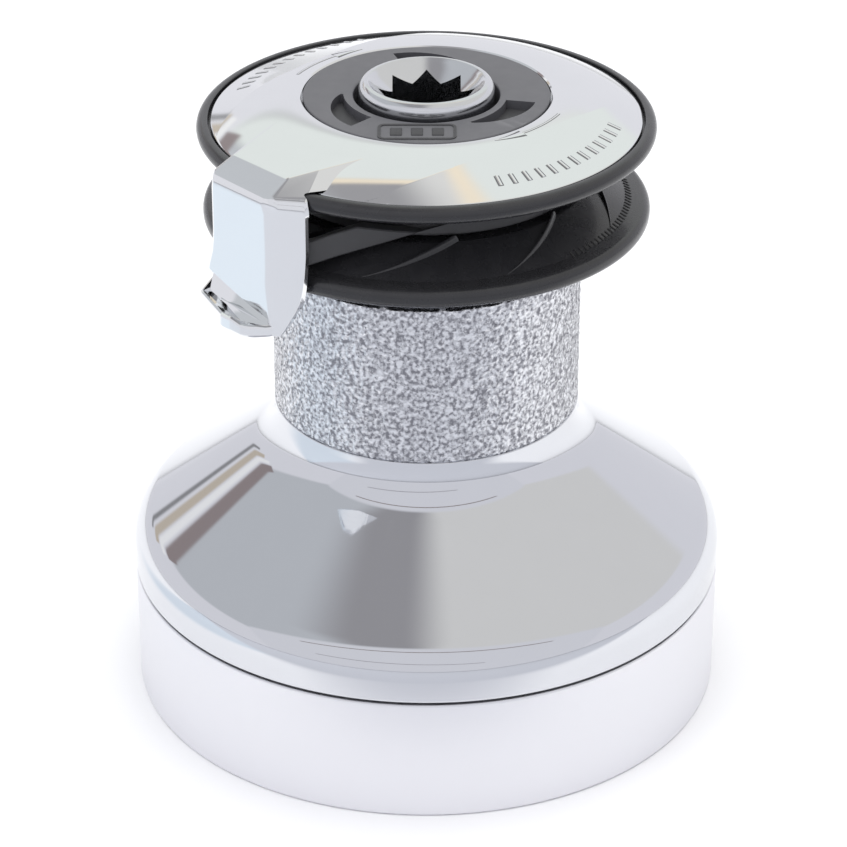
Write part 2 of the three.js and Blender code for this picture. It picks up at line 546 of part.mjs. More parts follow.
function feederArm() {
  let body = turned(ringOutline(), MID_ROUND);
  const edges = COLUMN_OUTER.map(([x, y]) => [x, y, ARM_UNDER]);
  const root = ARM_ROOT.map(([x, y]) => [x, y, ARM_UNDER]);
  body = body.add(hull([...ARM_TOP, ...edges, ...root]));
  const inner = COLUMN_INNER_AZIMUTHS.map((azimuth) => polar(COLUMN.inner, azimuth - 90));
  body = body.add(plate([...COLUMN_OUTER, ...inner], COLUMN.bottom, COLUMN.top));
  body = body.add(plate(FOOT_OUTLINE, FOOT.bottom, FOOT.top));
  const window = sleeve(30, COLUMN.inner - HOLE_PLAY, FOOT.underJaw, RING.bottom - 0.1, [0, 0], BASE_ROUND);
  body = body.subtract(window);
  for (const angle of RING_SCREW_ANGLES) {
    const at = polar(RING_SCREW.circle, angle);
    body = body.subtract(rod(RING_SCREW.shank + 0.2, RING.bottom - 1, RING.seat + 1, at, SCREW_ROUND));
    body = body.subtract(rod(RING_SCREW.head + 0.3, RING_SCREW.seat - 0.3, RING.seat + 1, at, 12));
  }
  return body.subtract(stripperScrewHole());
}

// The stripper lifts the rope out of the jaws: a ring in the root of the groove, and a blade that spirals
// outward to the arm.
function stripper() {
  let body = sleeve(STRIPPER.inner, STRIPPER.outer, STRIPPER.bottom, STRIPPER.top, [0, 0], MID_ROUND);
  const section = ([azimuth, inside, outside]) => {
    const bottom = Math.max(lowerSurface(inside) + STRIPPER.play, STRIPPER.lowest);
    const top = Math.min(bottom + STRIPPER.blade, upperSurface(inside) - STRIPPER.play);
    return [inside, outside].flatMap((r) => [bottom, top].map((z) => [...polar(r, azimuth - 90), z]));
  };
  for (let i = 0; i + 1 < BLADE.length; i += 1) {
    body = body.add(hull([...section(BLADE[i]), ...section(BLADE[i + 1])]));
  }
  return body.subtract(screwAlong(STRIPPER_SCREW.radius + 0.2, 53.5, 62));
}

// A rod through the column, pointing at the winch axis at the stripper screw's height.
function screwAlong(radius, from, to, sides = 16) {
  const length = to - from;
  const lying = new THREE.CylinderGeometry(radius, radius, length, sides).rotateZ(Math.PI / 2);
  lying.translate(from + length / 2, 0, STRIPPER_SCREW.height).rotateZ(radians(STRIPPER_SCREW.azimuth - 90));
  return solid(lying);
}

const stripperScrewHole = () =>
  screwAlong(STRIPPER_SCREW.radius + 0.2, 58, 70)
    .add(screwAlong(STRIPPER_SCREW.head + 0.3, STRIPPER_SCREW.seat - 0.3, 72));

function stripperScrew() {
  const { radius, head, tip, seat, end } = STRIPPER_SCREW;
  return screwAlong(radius, tip, seat + 0.2).add(screwAlong(head, seat, end));
}

// The cap has three finger slots, each a comma that widens clockwise.
function topCap() {
  const c = CAP;
  let body = turned([[17.9, c.hubBottom], [c.hub, c.hubBottom], [c.hub, c.bottom], [c.radius, c.bottom],
    [c.radius, c.top - 0.3], [c.radius - 0.3, c.top], [c.bore + 0.4, c.top], [c.bore, c.top - 0.4],
    [c.bore, 160], [17.9, 159.5]], MID_ROUND);
  const slot = { from: -59, to: -12, inner: 21.2, outer: 28, depth: 1.6 };
  for (const turn of [0, 120, 240]) {
    const outer = [];
    const inner = [];
    const steps = 5;
    for (let i = 0; i <= steps; i += 1) {
      const share = i / steps;
      const angle = slot.from + turn + (slot.to - slot.from) * share;
      outer.push(polar(slot.inner + 0.8 + (slot.outer - slot.inner - 0.8) * Math.sqrt(share), angle));
      inner.unshift(polar(slot.inner, angle));
    }
    body = body.subtract(plate([...outer, ...inner], c.top - slot.depth, c.top + 1));
  }
  return body;
}

// ---------------------------------------------------------------- assembly
const winch = new THREE.Group();

function place(name, body, look) {
  const mesh = new THREE.Mesh(geometryOf(body), new THREE.MeshStandardMaterial(look));
  mesh.name = name;
  winch.add(mesh);
}

place('base_flange', baseFlange(), SATIN);
place('centre_stem', centreStem(), STEEL);
postAngles.forEach((angle, i) => {
  place(`stem_screw_${i + 1}`, headScrew(SCREW, polar(POST.circle, angle)), STEEL);
});
place('spindle_bush_lower', sleeve(...SPINDLE_BUSH.lower), NYLON);
place('spindle_bush_upper', sleeve(...SPINDLE_BUSH.upper, [0, 0], 24), NYLON);
for (const [level, sizes] of Object.entries(SHAFT_BUSH)) {
  place(`shaft_bush_${level}`, sleeve(...sizes, SHAFT_AT), BRONZE);
}
place('idler_pin', rod(IDLER_PIN.radius, IDLER_PIN.bottom, IDLER_PIN.top, IDLER_AT), STEEL);

place('main_spindle', mainSpindle(), CHROME);
place('ratchet_gear', ratchetGear(), BRONZE);
PAWL_ANGLES.forEach((angle, i) => {
  const [low, high] = [LEVEL.first + PAWL_CLEAR, LEVEL.first + GEAR.face - PAWL_CLEAR];
  const pawl = onPivot(pawlOutline(SPINDLE_PAWL), SPINDLE_PAWL, angle, [0, 0], low, high, PAWL_SWING);
  place(`spindle_pawl_${i + 1}`, pawl, STEEL);
  const spring = onPivot(springOutline(SPINDLE_PAWL), SPINDLE_PAWL, angle, [0, 0], low + 1, high - 1);
  place(`spindle_pawl_spring_${i + 1}`, spring, STEEL);
});
const idlerBore = rod(IDLER_PIN.bore, 0, LEVEL.second, IDLER_AT);
place('idler_gear', gearDisc(idler, idlerPhase, LEVEL.first).subtract(idlerBore), BRONZE);
place('output_shaft', outputShaft(), STEEL);
place('output_pinion', gearDisc(pinion, 0, RING_GEAR.bottom, RING_GEAR.height)
  .subtract(rod(6.3, RING_GEAR.bottom - 1, 50, SHAFT_AT, 6)), BRONZE);
place('second_speed_gear', secondGear(), BRONZE);
SHAFT_PAWL_ANGLES.forEach((angle, i) => {
  const [low, high] = [LEVEL.second + PAWL_CLEAR, LEVEL.second + GEAR.face - PAWL_CLEAR];
  const pawl = onPivot(pawlOutline(SHAFT_PAWL), SHAFT_PAWL, angle, SHAFT_AT, low, high);
  place(`shaft_pawl_${i + 1}`, pawl, STEEL);
  const spring = onPivot(springOutline(SHAFT_PAWL), SHAFT_PAWL, angle, SHAFT_AT, low + 1, high - 1);
  place(`shaft_pawl_spring_${i + 1}`, spring, STEEL);
});

place('drum', drum(), CHROME);
place('ring_gear', ringGear(), BRONZE);
place('drum_bearing_lower', rollerCage(BEARING.lower), NYLON);
const spacerBottom = BEARING.lower + BEARING.height + SPACER.play;
const spacerTop = BEARING.upper - SPACER.play;
const spacer = sleeve(SPACER.inner, SPACER.outer, spacerBottom, spacerTop, [0, 0], MID_ROUND);
place('bearing_spacer', spacer, NYLON);
place('drum_bearing_upper', rollerCage(BEARING.upper), NYLON);
place('wave_spring', waveSpring(), STEEL);
place('lower_jaw', lowerJaw(), CHARCOAL);
place('upper_jaw', upperJaw(), CHARCOAL);
JAW_SCREW_ANGLES.forEach((angle, i) => {
  place(`jaw_screw_${i + 1}`, headScrew(JAW_SCREW, polar(JAW_SCREW.circle, angle)), STEEL);
});

place('feeder_arm', feederArm(), CHROME);
RING_SCREW_ANGLES.forEach((angle, i) => {
  place(`arm_screw_${i + 1}`, headScrew(RING_SCREW, polar(RING_SCREW.circle, angle)), STEEL);
});
place('stripper', stripper(), CAP_GREY);
place('stripper_screw', stripperScrew(), STEEL);
place('top_cap', topCap(), CAP_GREY);
place('spindle_seal', sleeve(...SPINDLE_SEAL, [0, 0], 24), RUBBER);

export default winch;
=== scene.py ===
"""A two-speed self-tailing sailboat winch: fine meshes, finishes, studio and camera.

Sizes are in millimetres until a mesh is made. +Z is up along the winch axis, and azimuths are
degrees from the front (-Y) towards the right (+X).
"""
import sys
import logging
import math
from dataclasses import dataclass
from enum import Enum
from typing import Callable, Optional, Sequence

import bmesh
import bpy
from mathutils import Matrix, Vector


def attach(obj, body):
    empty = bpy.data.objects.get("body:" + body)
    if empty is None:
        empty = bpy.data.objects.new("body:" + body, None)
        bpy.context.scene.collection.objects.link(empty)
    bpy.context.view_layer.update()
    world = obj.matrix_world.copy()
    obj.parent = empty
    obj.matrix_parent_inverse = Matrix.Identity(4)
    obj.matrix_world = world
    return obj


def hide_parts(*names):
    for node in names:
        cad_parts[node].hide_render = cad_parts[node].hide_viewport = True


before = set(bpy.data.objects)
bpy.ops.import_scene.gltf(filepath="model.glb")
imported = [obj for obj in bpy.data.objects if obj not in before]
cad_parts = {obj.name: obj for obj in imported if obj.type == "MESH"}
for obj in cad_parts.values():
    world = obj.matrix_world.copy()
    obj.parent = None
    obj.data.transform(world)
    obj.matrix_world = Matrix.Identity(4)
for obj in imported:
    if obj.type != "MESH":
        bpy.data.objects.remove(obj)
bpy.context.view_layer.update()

LOG = logging.getLogger("winch")
MM = 0.001

Point = tuple[float, float]
Spot = tuple[float, float, float]
Corner = tuple[float, float, float]
Colour = tuple[float, float, float]
Knuckle = tuple[float, float, float, float]


# ---------------------------------------------------------------- plane and turned geometry
def polar(radius: float, azimuth: float) -> Point:
    """Place of a radius and an azimuth from the front."""
    turn = math.radians(azimuth - 90)
    return radius * math.cos(turn), radius * math.sin(turn)


def smooth(share: float) -> float:
    """Eases 0..1 in and out."""
    share = min(max(share, 0.0), 1.0)
    return share * share * (3 - 2 * share)


def through(stations: Sequence[Point], at: float) -> float:
    """Value at a place on a smooth curve through stations.

    Args:
        stations: (place, value) pairs in rising order of place.
        at: The place to read.

    Returns:
        The value there, held at the end values outside the stations.
    """
    if at <= stations[0][0]:
        return stations[0][1]
    for i in range(len(stations) - 1):
        (x0, y0), (x1, y1) = stations[i], stations[i + 1]
        if at > x1:
            continue
        before = stations[i - 1] if i else (2 * x0 - x1, y0)
        after = stations[i + 2] if i + 2 < len(stations) else (2 * x1 - x0, y1)
        slope0 = (y1 - before[1]) / (x1 - before[0])
        slope1 = (after[1] - y0) / (after[0] - x0)
        t = (at - x0) / (x1 - x0)
        width = x1 - x0
        return ((2 * t**3 - 3 * t**2 + 1) * y0 + (t**3 - 2 * t**2 + t) * width * slope0
                + (-2 * t**3 + 3 * t**2) * y1 + (t**3 - t**2) * width * slope1)
    return stations[-1][1]


def eased_outline(corners: Sequence[Corner], steps: int = 8, hold: float = 0.35) -> list[Point]:
    """Closed outline with its corners rounded and its straight runs held close to their ends.

    Args:
        corners: (radius, height, rounding) of each corner in order.
        steps: Edges in each rounded corner.
        hold: Distance from the end of a straight run to its holding point.

    Returns:
        The (radius, height) points in order.
    """
    count = len(corners)
    eased: list[Point] = []
    for i, (x, y, rounding) in enumerate(corners):
        here = Vector((x, y))
        back = Vector(corners[i - 1][:2]) - here
        on = Vector(corners[(i + 1) % count][:2]) - here
        if rounding <= 0:
            eased.append((x, y))
            continue
        half = back.angle(on) / 2
        reach = min(rounding / math.tan(half), back.length * 0.98, on.length * 0.98)
        radius = reach * math.tan(half)
        centre = here + (back.normalized() + on.normalized()).normalized() * (radius / math.sin(half))
        start = here + back.normalized() * reach - centre
        end = here + on.normalized() * reach - centre
        turn0 = math.atan2(start.y, start.x)
        sweep = math.remainder(math.atan2(end.y, end.x) - turn0, math.tau)
        for k in range(steps + 1):
            turn = turn0 + sweep * k / steps
            eased.append((centre.x + radius * math.cos(turn), centre.y + radius * math.sin(turn)))
    held: list[Point] = []
    for i, point in enumerate(eased):
        here, on = Vector(point), Vector(eased[(i + 1) % len(eased)])
        run = (on - here).length
        held.append(point)
        if run > 4 * hold:
            for share in (hold / run, 0.5, 1 - hold / run):
                spot = here.lerp(on, share)
                held.append((spot.x, spot.y))
    return held


def turned_shape(outline: Sequence[Point], sides: int = 256,
                 bend: Optional[Callable[[float, float, float], float]] = None) -> bmesh.types.BMesh:
    """Body turned about the winch axis from its closed outline.

    Args:
        outline: (radius, height) points of the closed section.
        sides: Facets round the axis.
        bend: Gives a new height from radius, height and azimuth, where the body isn't quite round.

    Returns:
        The body in millimetres.
    """
    shape = bmesh.new()
    rows: list[list[bmesh.types.BMVert]] = []
    for i in range(sides):
        azimuth = 360 * i / sides
        row = []
        for radius, height in outline:
            x, y = polar(radius, azimuth)
            row.append(shape.verts.new((x, y, bend(radius, height, azimuth) if bend else height)))
        rows.append(row)
    count = len(outline)
    for i in range(sides):
        here, on = rows[i], rows[(i + 1) % sides]
        for k in range(count):
            n = (k + 1) % count
            shape.faces.new((here[k], on[k], on[n], here[n]))
    bmesh.ops.remove_doubles(shape, verts=shape.verts, dist=1e-4)
    bmesh.ops.recalc_face_normals(shape, faces=shape.faces)
    return shape


def raised_shape(outline: Sequence[Point], bottom: float, top: float) -> bmesh.types.BMesh:
    """Flat outline raised from one height to another."""
    shape = bmesh.new()
    low = [shape.verts.new((x, y, bottom)) for x, y in outline]
    high = [shape.verts.new((x, y, top)) for x, y in outline]
    count = len(outline)
    for i in range(count):
        n = (i + 1) % count
        shape.faces.new((low[i], low[n], high[n], high[i]))
    shape.faces.new(high)
    shape.faces.new(list(reversed(low)))
    bmesh.ops.recalc_face_normals(shape, faces=shape.faces)
    return shape


def lofted_shape(sections: Sequence[Sequence[Spot]]) -> bmesh.types.BMesh:
    """Body lofted through closed sections of equal count, with flat ends."""
    shape = bmesh.new()
    rows = [[shape.verts.new(spot) for spot in section] for section in sections]
    count = len(rows[0])
    for here, on in zip(rows, rows[1:]):
        for k in range(count):
            n = (k + 1) % count
            shape.faces.new((here[k], on[k], on[n], here[n]))
    shape.faces.new(list(reversed(rows[0])))
    shape.faces.new(rows[-1])
    bmesh.ops.recalc_face_normals(shape, faces=shape.faces)
    return shape


def ball_hull(balls: Sequence[tuple[float, float, float, float]], detail: int = 3) -> bmesh.types.BMesh:
    """Tightest skin round a set of balls, which leaves flat faces between rounded edges.

    Args:
        balls: (x, y, z, radius) of each ball.
        detail: Fineness of the balls.

    Returns:
        The skin in millimetres.
    """
    shape = bmesh.new()
    for x, y, z, radius in balls:
        matrix = Matrix.Translation((x, y, z))
        bmesh.ops.create_icosphere(shape, subdivisions=detail, radius=radius, matrix=matrix)
    for face in list(shape.faces):
        shape.faces.remove(face)
    hull = bmesh.ops.convex_hull(shape, input=shape.verts, use_existing_faces=False)
    kept = {item for item in hull["geom"] if isinstance(item, bmesh.types.BMVert)}
    loose = [v for v in shape.verts if v not in kept or not v.link_faces]
    bmesh.ops.delete(shape, geom=loose, context="VERTS")
    bmesh.ops.recalc_face_normals(shape, faces=shape.faces)
    return shape


# ---------------------------------------------------------------- pieces
def as_mesh(shape: bmesh.types.BMesh, name: str, crease: float = 32) -> bpy.types.Mesh:
    """Mesh in metres from a shape in millimetres, smooth except at creases.

    Args:
        shape: The shape, which is used up.
        name: Name of the mesh.
        crease: Angle in degrees past which an edge stays sharp.

    Returns:
        The mesh.
    """
    bmesh.ops.scale(shape, vec=(MM, MM, MM), verts=shape.verts)
    mesh = bpy.data.meshes.new(name)
    shape.to_mesh(mesh)
    shape.free()
    mesh.shade_smooth()
    mesh.set_sharp_from_angle(angle=math.radians(crease))
    return mesh


def as_object(shape: bmesh.types.BMesh, name: str, crease: float = 32) -> bpy.types.Object:
    """Object at the origin from a shape in millimetres."""
    piece = bpy.data.objects.new(name, as_mesh(shape, name, crease))
    bpy.context.scene.collection.objects.link(piece)
    return piece


def settle(piece: bpy.types.Object, crease: Optional[float] = None) -> bpy.types.Object:
    """Turns what a piece's modifiers make into its plain mesh.

    Args:
        piece: The object with modifiers.
        crease: Angle in degrees past which an edge stays sharp, or None to keep the shading.

    Returns:
        The same object, with no modifiers left.
    """
    graph = bpy.context.evaluated_depsgraph_get()
    mesh = bpy.data.meshes.new_from_object(piece.evaluated_get(graph), preserve_all_data_layers=True,
                                           depsgraph=graph)
    piece.modifiers.clear()
    old = piece.data
    piece.data = mesh
    bpy.data.meshes.remove(old)
    if crease is not None:
        mesh.shade_smooth()
        mesh.set_sharp_from_angle(angle=math.radians(crease))
    return piece


class Carve(Enum):
    """How one body is worked with another."""

    CUT = "DIFFERENCE"
    JOIN = "UNION"


def carve(piece: bpy.types.Object, tools: Sequence[bmesh.types.BMesh], way: Carve = Carve.CUT,
          crease: float = 32) -> bpy.types.Object:
    """Cuts or joins shapes into a piece.

    Args:
        piece: The piece to work.
        tools: The shapes in millimetres, which are used up.
        way: Cut away or join.
        crease: Angle in degrees past which an edge stays sharp.

    Returns:
        The same piece.
    """
    helpers = []
    for i, tool in enumerate(tools):
        helper = as_object(tool, f"{piece.name}_tool_{i}")
        helpers.append(helper)
        step = piece.modifiers.new("work", "BOOLEAN")
        step.operation = way.value
        step.solver = "EXACT"
        step.object = helper
    settle(piece, crease)
    for helper in helpers:
        bpy.data.objects.remove(helper)
    return piece


def even_shading(piece: bpy.types.Object) -> bpy.types.Object:
    """Lets the broad faces of a piece keep their own flat shading beside narrow rounded edges."""
    step = piece.modifiers.new("even", "WEIGHTED_NORMAL")
    step.mode = "FACE_AREA"
    step.weight = 100
    step.keep_sharp = True
    return settle(piece)


def merge(name: str, parts: Sequence[bpy.types.Object]) -> bpy.types.Object:
    """One object from several, keeping each one's finish.

    Args:
        name: Name of the joined object.
        parts: The objects, which are used up.

    Returns:
        The joined object.
    """
    main = parts[0]
    with bpy.context.temp_override(active_object=main, object=main, selected_objects=list(parts),
                                   selected_editable_objects=list(parts)):
        bpy.ops.object.join()
    main.name = name
    main.data.name = name
    return main


# ---------------------------------------------------------------- node wiring
class Wiring:
    """Short hand for building a node tree."""

    def __init__(self, tree: bpy.types.NodeTree) -> None:
        """Keeps the tree that nodes are added to."""
        self.tree = tree
        self.column = 0

    def add(self, kind: str, **settings: object) -> bpy.types.Node:
        """Adds a node and sets its plain properties.

        Args:
            kind: Blender's name of the node type.
            **settings: Properties of the node.

        Returns:
            The new node.
        """
        node = self.tree.nodes.new(kind)
        node.location = (180 * self.column, 0)
        self.column += 1
        for name, value in settings.items():
            setattr(node, name, value)
        return node

    def join(self, source: bpy.types.NodeSocket, target: bpy.types.NodeSocket) -> None:
        """Links two sockets."""
        self.tree.links.new(source, target)

    def sums(self, operation: str, first: object, second: object = 0.0) -> bpy.types.NodeSocket:
        """Math node of two numbers or sockets.

        Args:
            operation: The sum to do.
            first: Left side, a number or a socket.
            second: Right side, a number or a socket.

        Returns:
            The result's socket.
        """
        node = self.add("ShaderNodeMath", operation=operation)
        for i, value in enumerate((first, second)):
            if isinstance(value, bpy.types.NodeSocket):
                self.join(value, node.inputs[i])
            else:
                node.inputs[i].default_value = value
        return node.outputs[0]

    def blend(self, share: object, first: object, second: object) -> bpy.types.NodeSocket:
        """Mixes two colours, each a socket or a plain colour.

        Args:
            share: Share of the second colour, a number or a socket.
            first: First colour.
            second: Second colour.

        Returns:
            The mixed colour's socket.
        """
        node = self.add("ShaderNodeMix", data_type="RGBA")
        for value, socket in ((share, node.inputs[0]), (first, node.inputs[6]), (second, node.inputs[7])):
            if isinstance(value, bpy.types.NodeSocket):
                self.join(value, socket)
            elif isinstance(value, tuple):
                socket.default_value = (*value, 1.0)
            else:
                socket.default_value = value
        return node.outputs[2]


class Ways(Enum):
    """Grain patterns of the finishes."""

    CAST = (1.0, 1.0, 1.0)
    TURNED = (1.0, 1.0, 9.0)
    DRAWN = (6.0, 6.0, 1.0)


def shared_group(name: str, inputs: Sequence[tuple[str, str, object]], outputs: Sequence[tuple[str, str]],
                 fill: Callable[[Wiring, bpy.types.Node, bpy.types.Node], None]) -> bpy.types.NodeTree:
    """Shader node group with named sockets, built once.

    Args:
        name: Name of the group.
        inputs: (name, socket kind, default) of each input.
        outputs: (name, socket kind) of each output.
        fill: Adds the nodes between the group's input and output nodes.

    Returns:
        The group.
    """
    if name in bpy.data.node_groups:
        return bpy.data.node_groups[name]
    tree = bpy.data.node_groups.new(name, "ShaderNodeTree")
    for label, kind, default in inputs:
        socket = tree.interface.new_socket(name=label, in_out="INPUT", socket_type=kind)
        if default is not None:
            socket.default_value = default
    for label, kind in outputs:
        tree.interface.new_socket(name=label, in_out="OUTPUT", socket_type=kind)
    wiring = Wiring(tree)
    fill(wiring, wiring.add("NodeGroupInput"), wiring.add("NodeGroupOutput"))
    return tree


def grain_group() -> bpy.types.NodeTree:
    """Group that gives a two-scale grain as a height and a patchy tone mask, which on the rope grip places painted
    reflection.
    """
    def fill(w: Wiring, start: bpy.types.Node, end: bpy.types.Node) -> None:
        """Adds a fine and a broad noise on the stretched place."""
        stretch = w.add("ShaderNodeVectorMath", operation="MULTIPLY")
        w.join(start.outputs["Place"], stretch.inputs[0])
        w.join(start.outputs["Stretch"], stretch.inputs[1])
        fine = w.add("ShaderNodeTexNoise")
        fine.inputs["Detail"].default_value = 4.0
        w.join(stretch.outputs[0], fine.inputs["Vector"])
        w.join(start.outputs["Scale"], fine.inputs["Scale"])
        broad = w.add("ShaderNodeTexNoise")
        broad.inputs["Detail"].default_value = 3.0
        w.join(start.outputs["Place"], broad.inputs["Vector"])
        w.join(w.sums("MULTIPLY", start.outputs["Scale"], start.outputs["Patch"]), broad.inputs["Scale"])
        w.join(fine.outputs["Fac"], end.inputs["Height"])
        sharp = w.sums("MULTIPLY", w.sums("SUBTRACT", broad.outputs["Fac"], 0.5), start.outputs["Contrast"])
        clear = w.add("ShaderNodeClamp")
        w.join(w.sums("ADD", sharp, 0.5), clear.inputs[0])
        w.join(clear.outputs[0], end.inputs["Mottle"])
    return shared_group("grain", [("Place", "NodeSocketVector", None), ("Stretch", "NodeSocketVector", None),
                                  ("Scale", "NodeSocketFloat", 1000.0), ("Patch", "NodeSocketFloat", 0.06),
                                  ("Contrast", "NodeSocketFloat", 1.0)],
                        [("Height", "NodeSocketFloat"), ("Mottle", "NodeSocketFloat")], fill)


def wear_group() -> bpy.types.NodeTree:
    """Group that marks worn outer edges, broken up by noise."""
    def fill(w: Wiring, start: bpy.types.Node, end: bpy.types.Node) -> None:
        """Adds the edge mask times a patchy noise."""
        form = w.add("ShaderNodeNewGeometry")
        ramp = w.add("ShaderNodeMapRange")
        ramp.inputs["From Min"].default_value = 0.53
        ramp.inputs["From Max"].default_value = 0.62
        w.join(form.outputs["Pointiness"], ramp.inputs["Value"])
        patches = w.add("ShaderNodeTexNoise")
        patches.inputs["Scale"].default_value = 420.0
        patches.inputs["Detail"].default_value = 5.0
        w.join(start.outputs["Place"], patches.inputs["Vector"])
        broken = w.sums("MULTIPLY", ramp.outputs["Result"], patches.outputs["Fac"])
        w.join(w.sums("MULTIPLY", broken, start.outputs["Amount"]), end.inputs["Mask"])
    return shared_group("edge_wear", [("Place", "NodeSocketVector", None), ("Amount", "NodeSocketFloat", 0.5)],
                        [("Mask", "NodeSocketFloat")], fill)


def dust_group() -> bpy.types.NodeTree:
    """Group that marks a thin film of dust on faces that look up."""
    def fill(w: Wiring, start: bpy.types.Node, end: bpy.types.Node) -> None:
        """Adds the upward mask times a soft noise."""
        form = w.add("ShaderNodeNewGeometry")
        apart = w.add("ShaderNodeSeparateXYZ")
        w.join(form.outputs["Normal"], apart.inputs[0])
        facing = w.add("ShaderNodeMapRange")
        facing.inputs["From Min"].default_value = 0.3
        facing.inputs["From Max"].default_value = 1.0
        w.join(apart.outputs["Z"], facing.inputs["Value"])
        film = w.add("ShaderNodeTexNoise")
        film.inputs["Scale"].default_value = 260.0
        film.inputs["Detail"].default_value = 6.0
        w.join(start.outputs["Place"], film.inputs["Vector"])
        lying = w.sums("MULTIPLY", facing.outputs["Result"], film.outputs["Fac"])
        w.join(w.sums("MULTIPLY", lying, start.outputs["Amount"]), end.inputs["Mask"])
    return shared_group("dust_film", [("Place", "NodeSocketVector", None), ("Amount", "NodeSocketFloat", 0.1)],
                        [("Mask", "NodeSocketFloat")], fill)


# ---------------------------------------------------------------- finishes
@dataclass(frozen=True)
class Finish:
    """One surface finish, with grain, mottling, worn edges and dust over its plain look. On the rope grip the
    mottling is dark patches of painted reflection.
    """

    name: str
    colour: Colour
    mottle_and_reflection: Colour
    roughness: float
    spread: float = 0.05
    metallic: float = 0.0
    coat: float = 0.0
    grain: float = 0.6
    depth: float = 0.01
    strength: float = 0.3
    way: Ways = Ways.CAST
    patch: float = 0.06
    contrast: float = 1.0
    worn: Colour = (0.7, 0.7, 0.7)
    wear: float = 0.2
    dust: float = 0.05

    def material(self) -> bpy.types.Material:
        """Material of this finish, made the first time it is asked for.

        Returns:
            The material.
        """
        if self.name in bpy.data.materials:
            return bpy.data.materials[self.name]
        material = bpy.data.materials.new(self.name)
        material.use_nodes = True
        material.node_tree.nodes.clear()
        w = Wiring(material.node_tree)
        place = w.add("ShaderNodeTexCoord").outputs["Object"]
        grain = w.add("ShaderNodeGroup", node_tree=grain_group())
        w.join(place, grain.inputs["Place"])
        grain.inputs["Stretch"].default_value = self.way.value
        grain.inputs["Scale"].default_value = 1.0 / (self.grain * MM)
        grain.inputs["Patch"].default_value = self.patch
        grain.inputs["Contrast"].default_value = self.contrast
        wear = w.add("ShaderNodeGroup", node_tree=wear_group())
        w.join(place, wear.inputs["Place"])
        wear.inputs["Amount"].default_value = self.wear
        dust = w.add("ShaderNodeGroup", node_tree=dust_group())
        w.join(place, dust.inputs["Place"])
        dust.inputs["Amount"].default_value = self.dust
        # Patchy tone over the colour; on the rope grip its dark second colour is painted reflection.
        body = w.blend(grain.outputs["Mottle"], self.colour, self.mottle_and_reflection)
        body = w.blend(wear.outputs["Mask"], body, self.worn)
        body = w.blend(dust.outputs["Mask"], body, (0.62, 0.61, 0.6))
        varied = w.sums("MULTIPLY", w.sums("SUBTRACT", grain.outputs["Mottle"], 0.5), self.spread * 2)
        rough = w.sums("ADD", w.sums("ADD", varied, self.roughness), w.sums("MULTIPLY", dust.outputs["Mask"], 0.3))
        bump = w.add("ShaderNodeBump")
        bump.inputs["Strength"].default_value = self.strength
        bump.inputs["Distance"].default_value = self.depth * MM
        w.join(grain.outputs["Height"], bump.inputs["Height"])
        shader = w.add("ShaderNodeBsdfPrincipled")
        shader.inputs["Metallic"].default_value = self.metallic
        shader.inputs["Coat Weight"].default_value = self.coat
        w.join(body, shader.inputs["Base Color"])
        w.join(rough, shader.inputs["Roughness"])
        w.join(bump.outputs["Normal"], shader.inputs["Normal"])
        w.join(shader.outputs[0], w.add("ShaderNodeOutputMaterial").inputs["Surface"])
        return material


MIRROR_CHROME = Finish("mirror_chrome", (0.7, 0.71, 0.74), (0.685, 0.695, 0.725), 0.045, spread=0.015, metallic=1.0,
                       grain=0.5, depth=0.0006, strength=0.12, worn=(0.92, 0.92, 0.94), wear=0.1, dust=0.02)
ARM_CHROME = Finish("arm_chrome", (0.85, 0.86, 0.87), (0.83, 0.84, 0.85), 0.07, spread=0.02, metallic=1.0,
                    grain=0.5, depth=0.0006, strength=0.12, worn=(0.95, 0.95, 0.95), wear=0.1, dust=0.02)
SATIN_COVER = Finish("satin_cover", (0.42, 0.425, 0.455), (0.395, 0.4, 0.43), 0.34, spread=0.06, metallic=0.9,
                     grain=0.35, depth=0.004, strength=0.35, worn=(0.9, 0.9, 0.92), wear=0.15, dust=0.03)
# The rope grip's dark second colour, made into sharp millimetre patches by patch and contrast, is painted reflection:
# dark specks standing in for the grey ceiling seen in the crumpled faces.
GRIP_METAL = Finish("grip_metal", (0.8, 0.81, 0.84), (0.25, 0.25, 0.275), 0.24, spread=0.1, metallic=1.0,
                    grain=0.34, depth=0.12, strength=0.8, patch=0.33, contrast=4.0, worn=(0.97, 0.97, 0.98), wear=0.6,
                    dust=0.0)
JAW_PLASTIC = Finish("jaw_plastic", (0.014, 0.014, 0.016), (0.02, 0.02, 0.023), 0.27, spread=0.06, coat=0.15,
                     grain=0.3, depth=0.01, strength=0.25, worn=(0.12, 0.12, 0.125), wear=0.35, dust=0.03)
STRIPPER_PLASTIC = Finish("stripper_plastic", (0.05, 0.05, 0.052), (0.06, 0.06, 0.063), 0.42, spread=0.05,
                          grain=0.3, depth=0.01, strength=0.3, worn=(0.16, 0.16, 0.16), wear=0.3, dust=0.03)
CAP_PLASTIC = Finish("cap_plastic", (0.082, 0.082, 0.091), (0.095, 0.095, 0.104), 0.42, spread=0.05,
                     grain=0.28, depth=0.012, strength=0.4, worn=(0.25, 0.25, 0.26), wear=0.35, dust=0.06)
SLOT_SHADE = Finish("slot_shade", (0.03, 0.03, 0.033), (0.04, 0.04, 0.043), 0.5, spread=0.05,
                    grain=0.28, depth=0.01, strength=0.3, worn=(0.1, 0.1, 0.1), wear=0.2, dust=0.02)
SPINDLE_STEEL = Finish("spindle_steel", (0.74, 0.75, 0.77), (0.68, 0.69, 0.71), 0.14, spread=0.06, metallic=1.0,
                       grain=0.5, depth=0.002, strength=0.3, way=Ways.DRAWN, worn=(0.9, 0.9, 0.9), wear=0.3, dust=0.0)
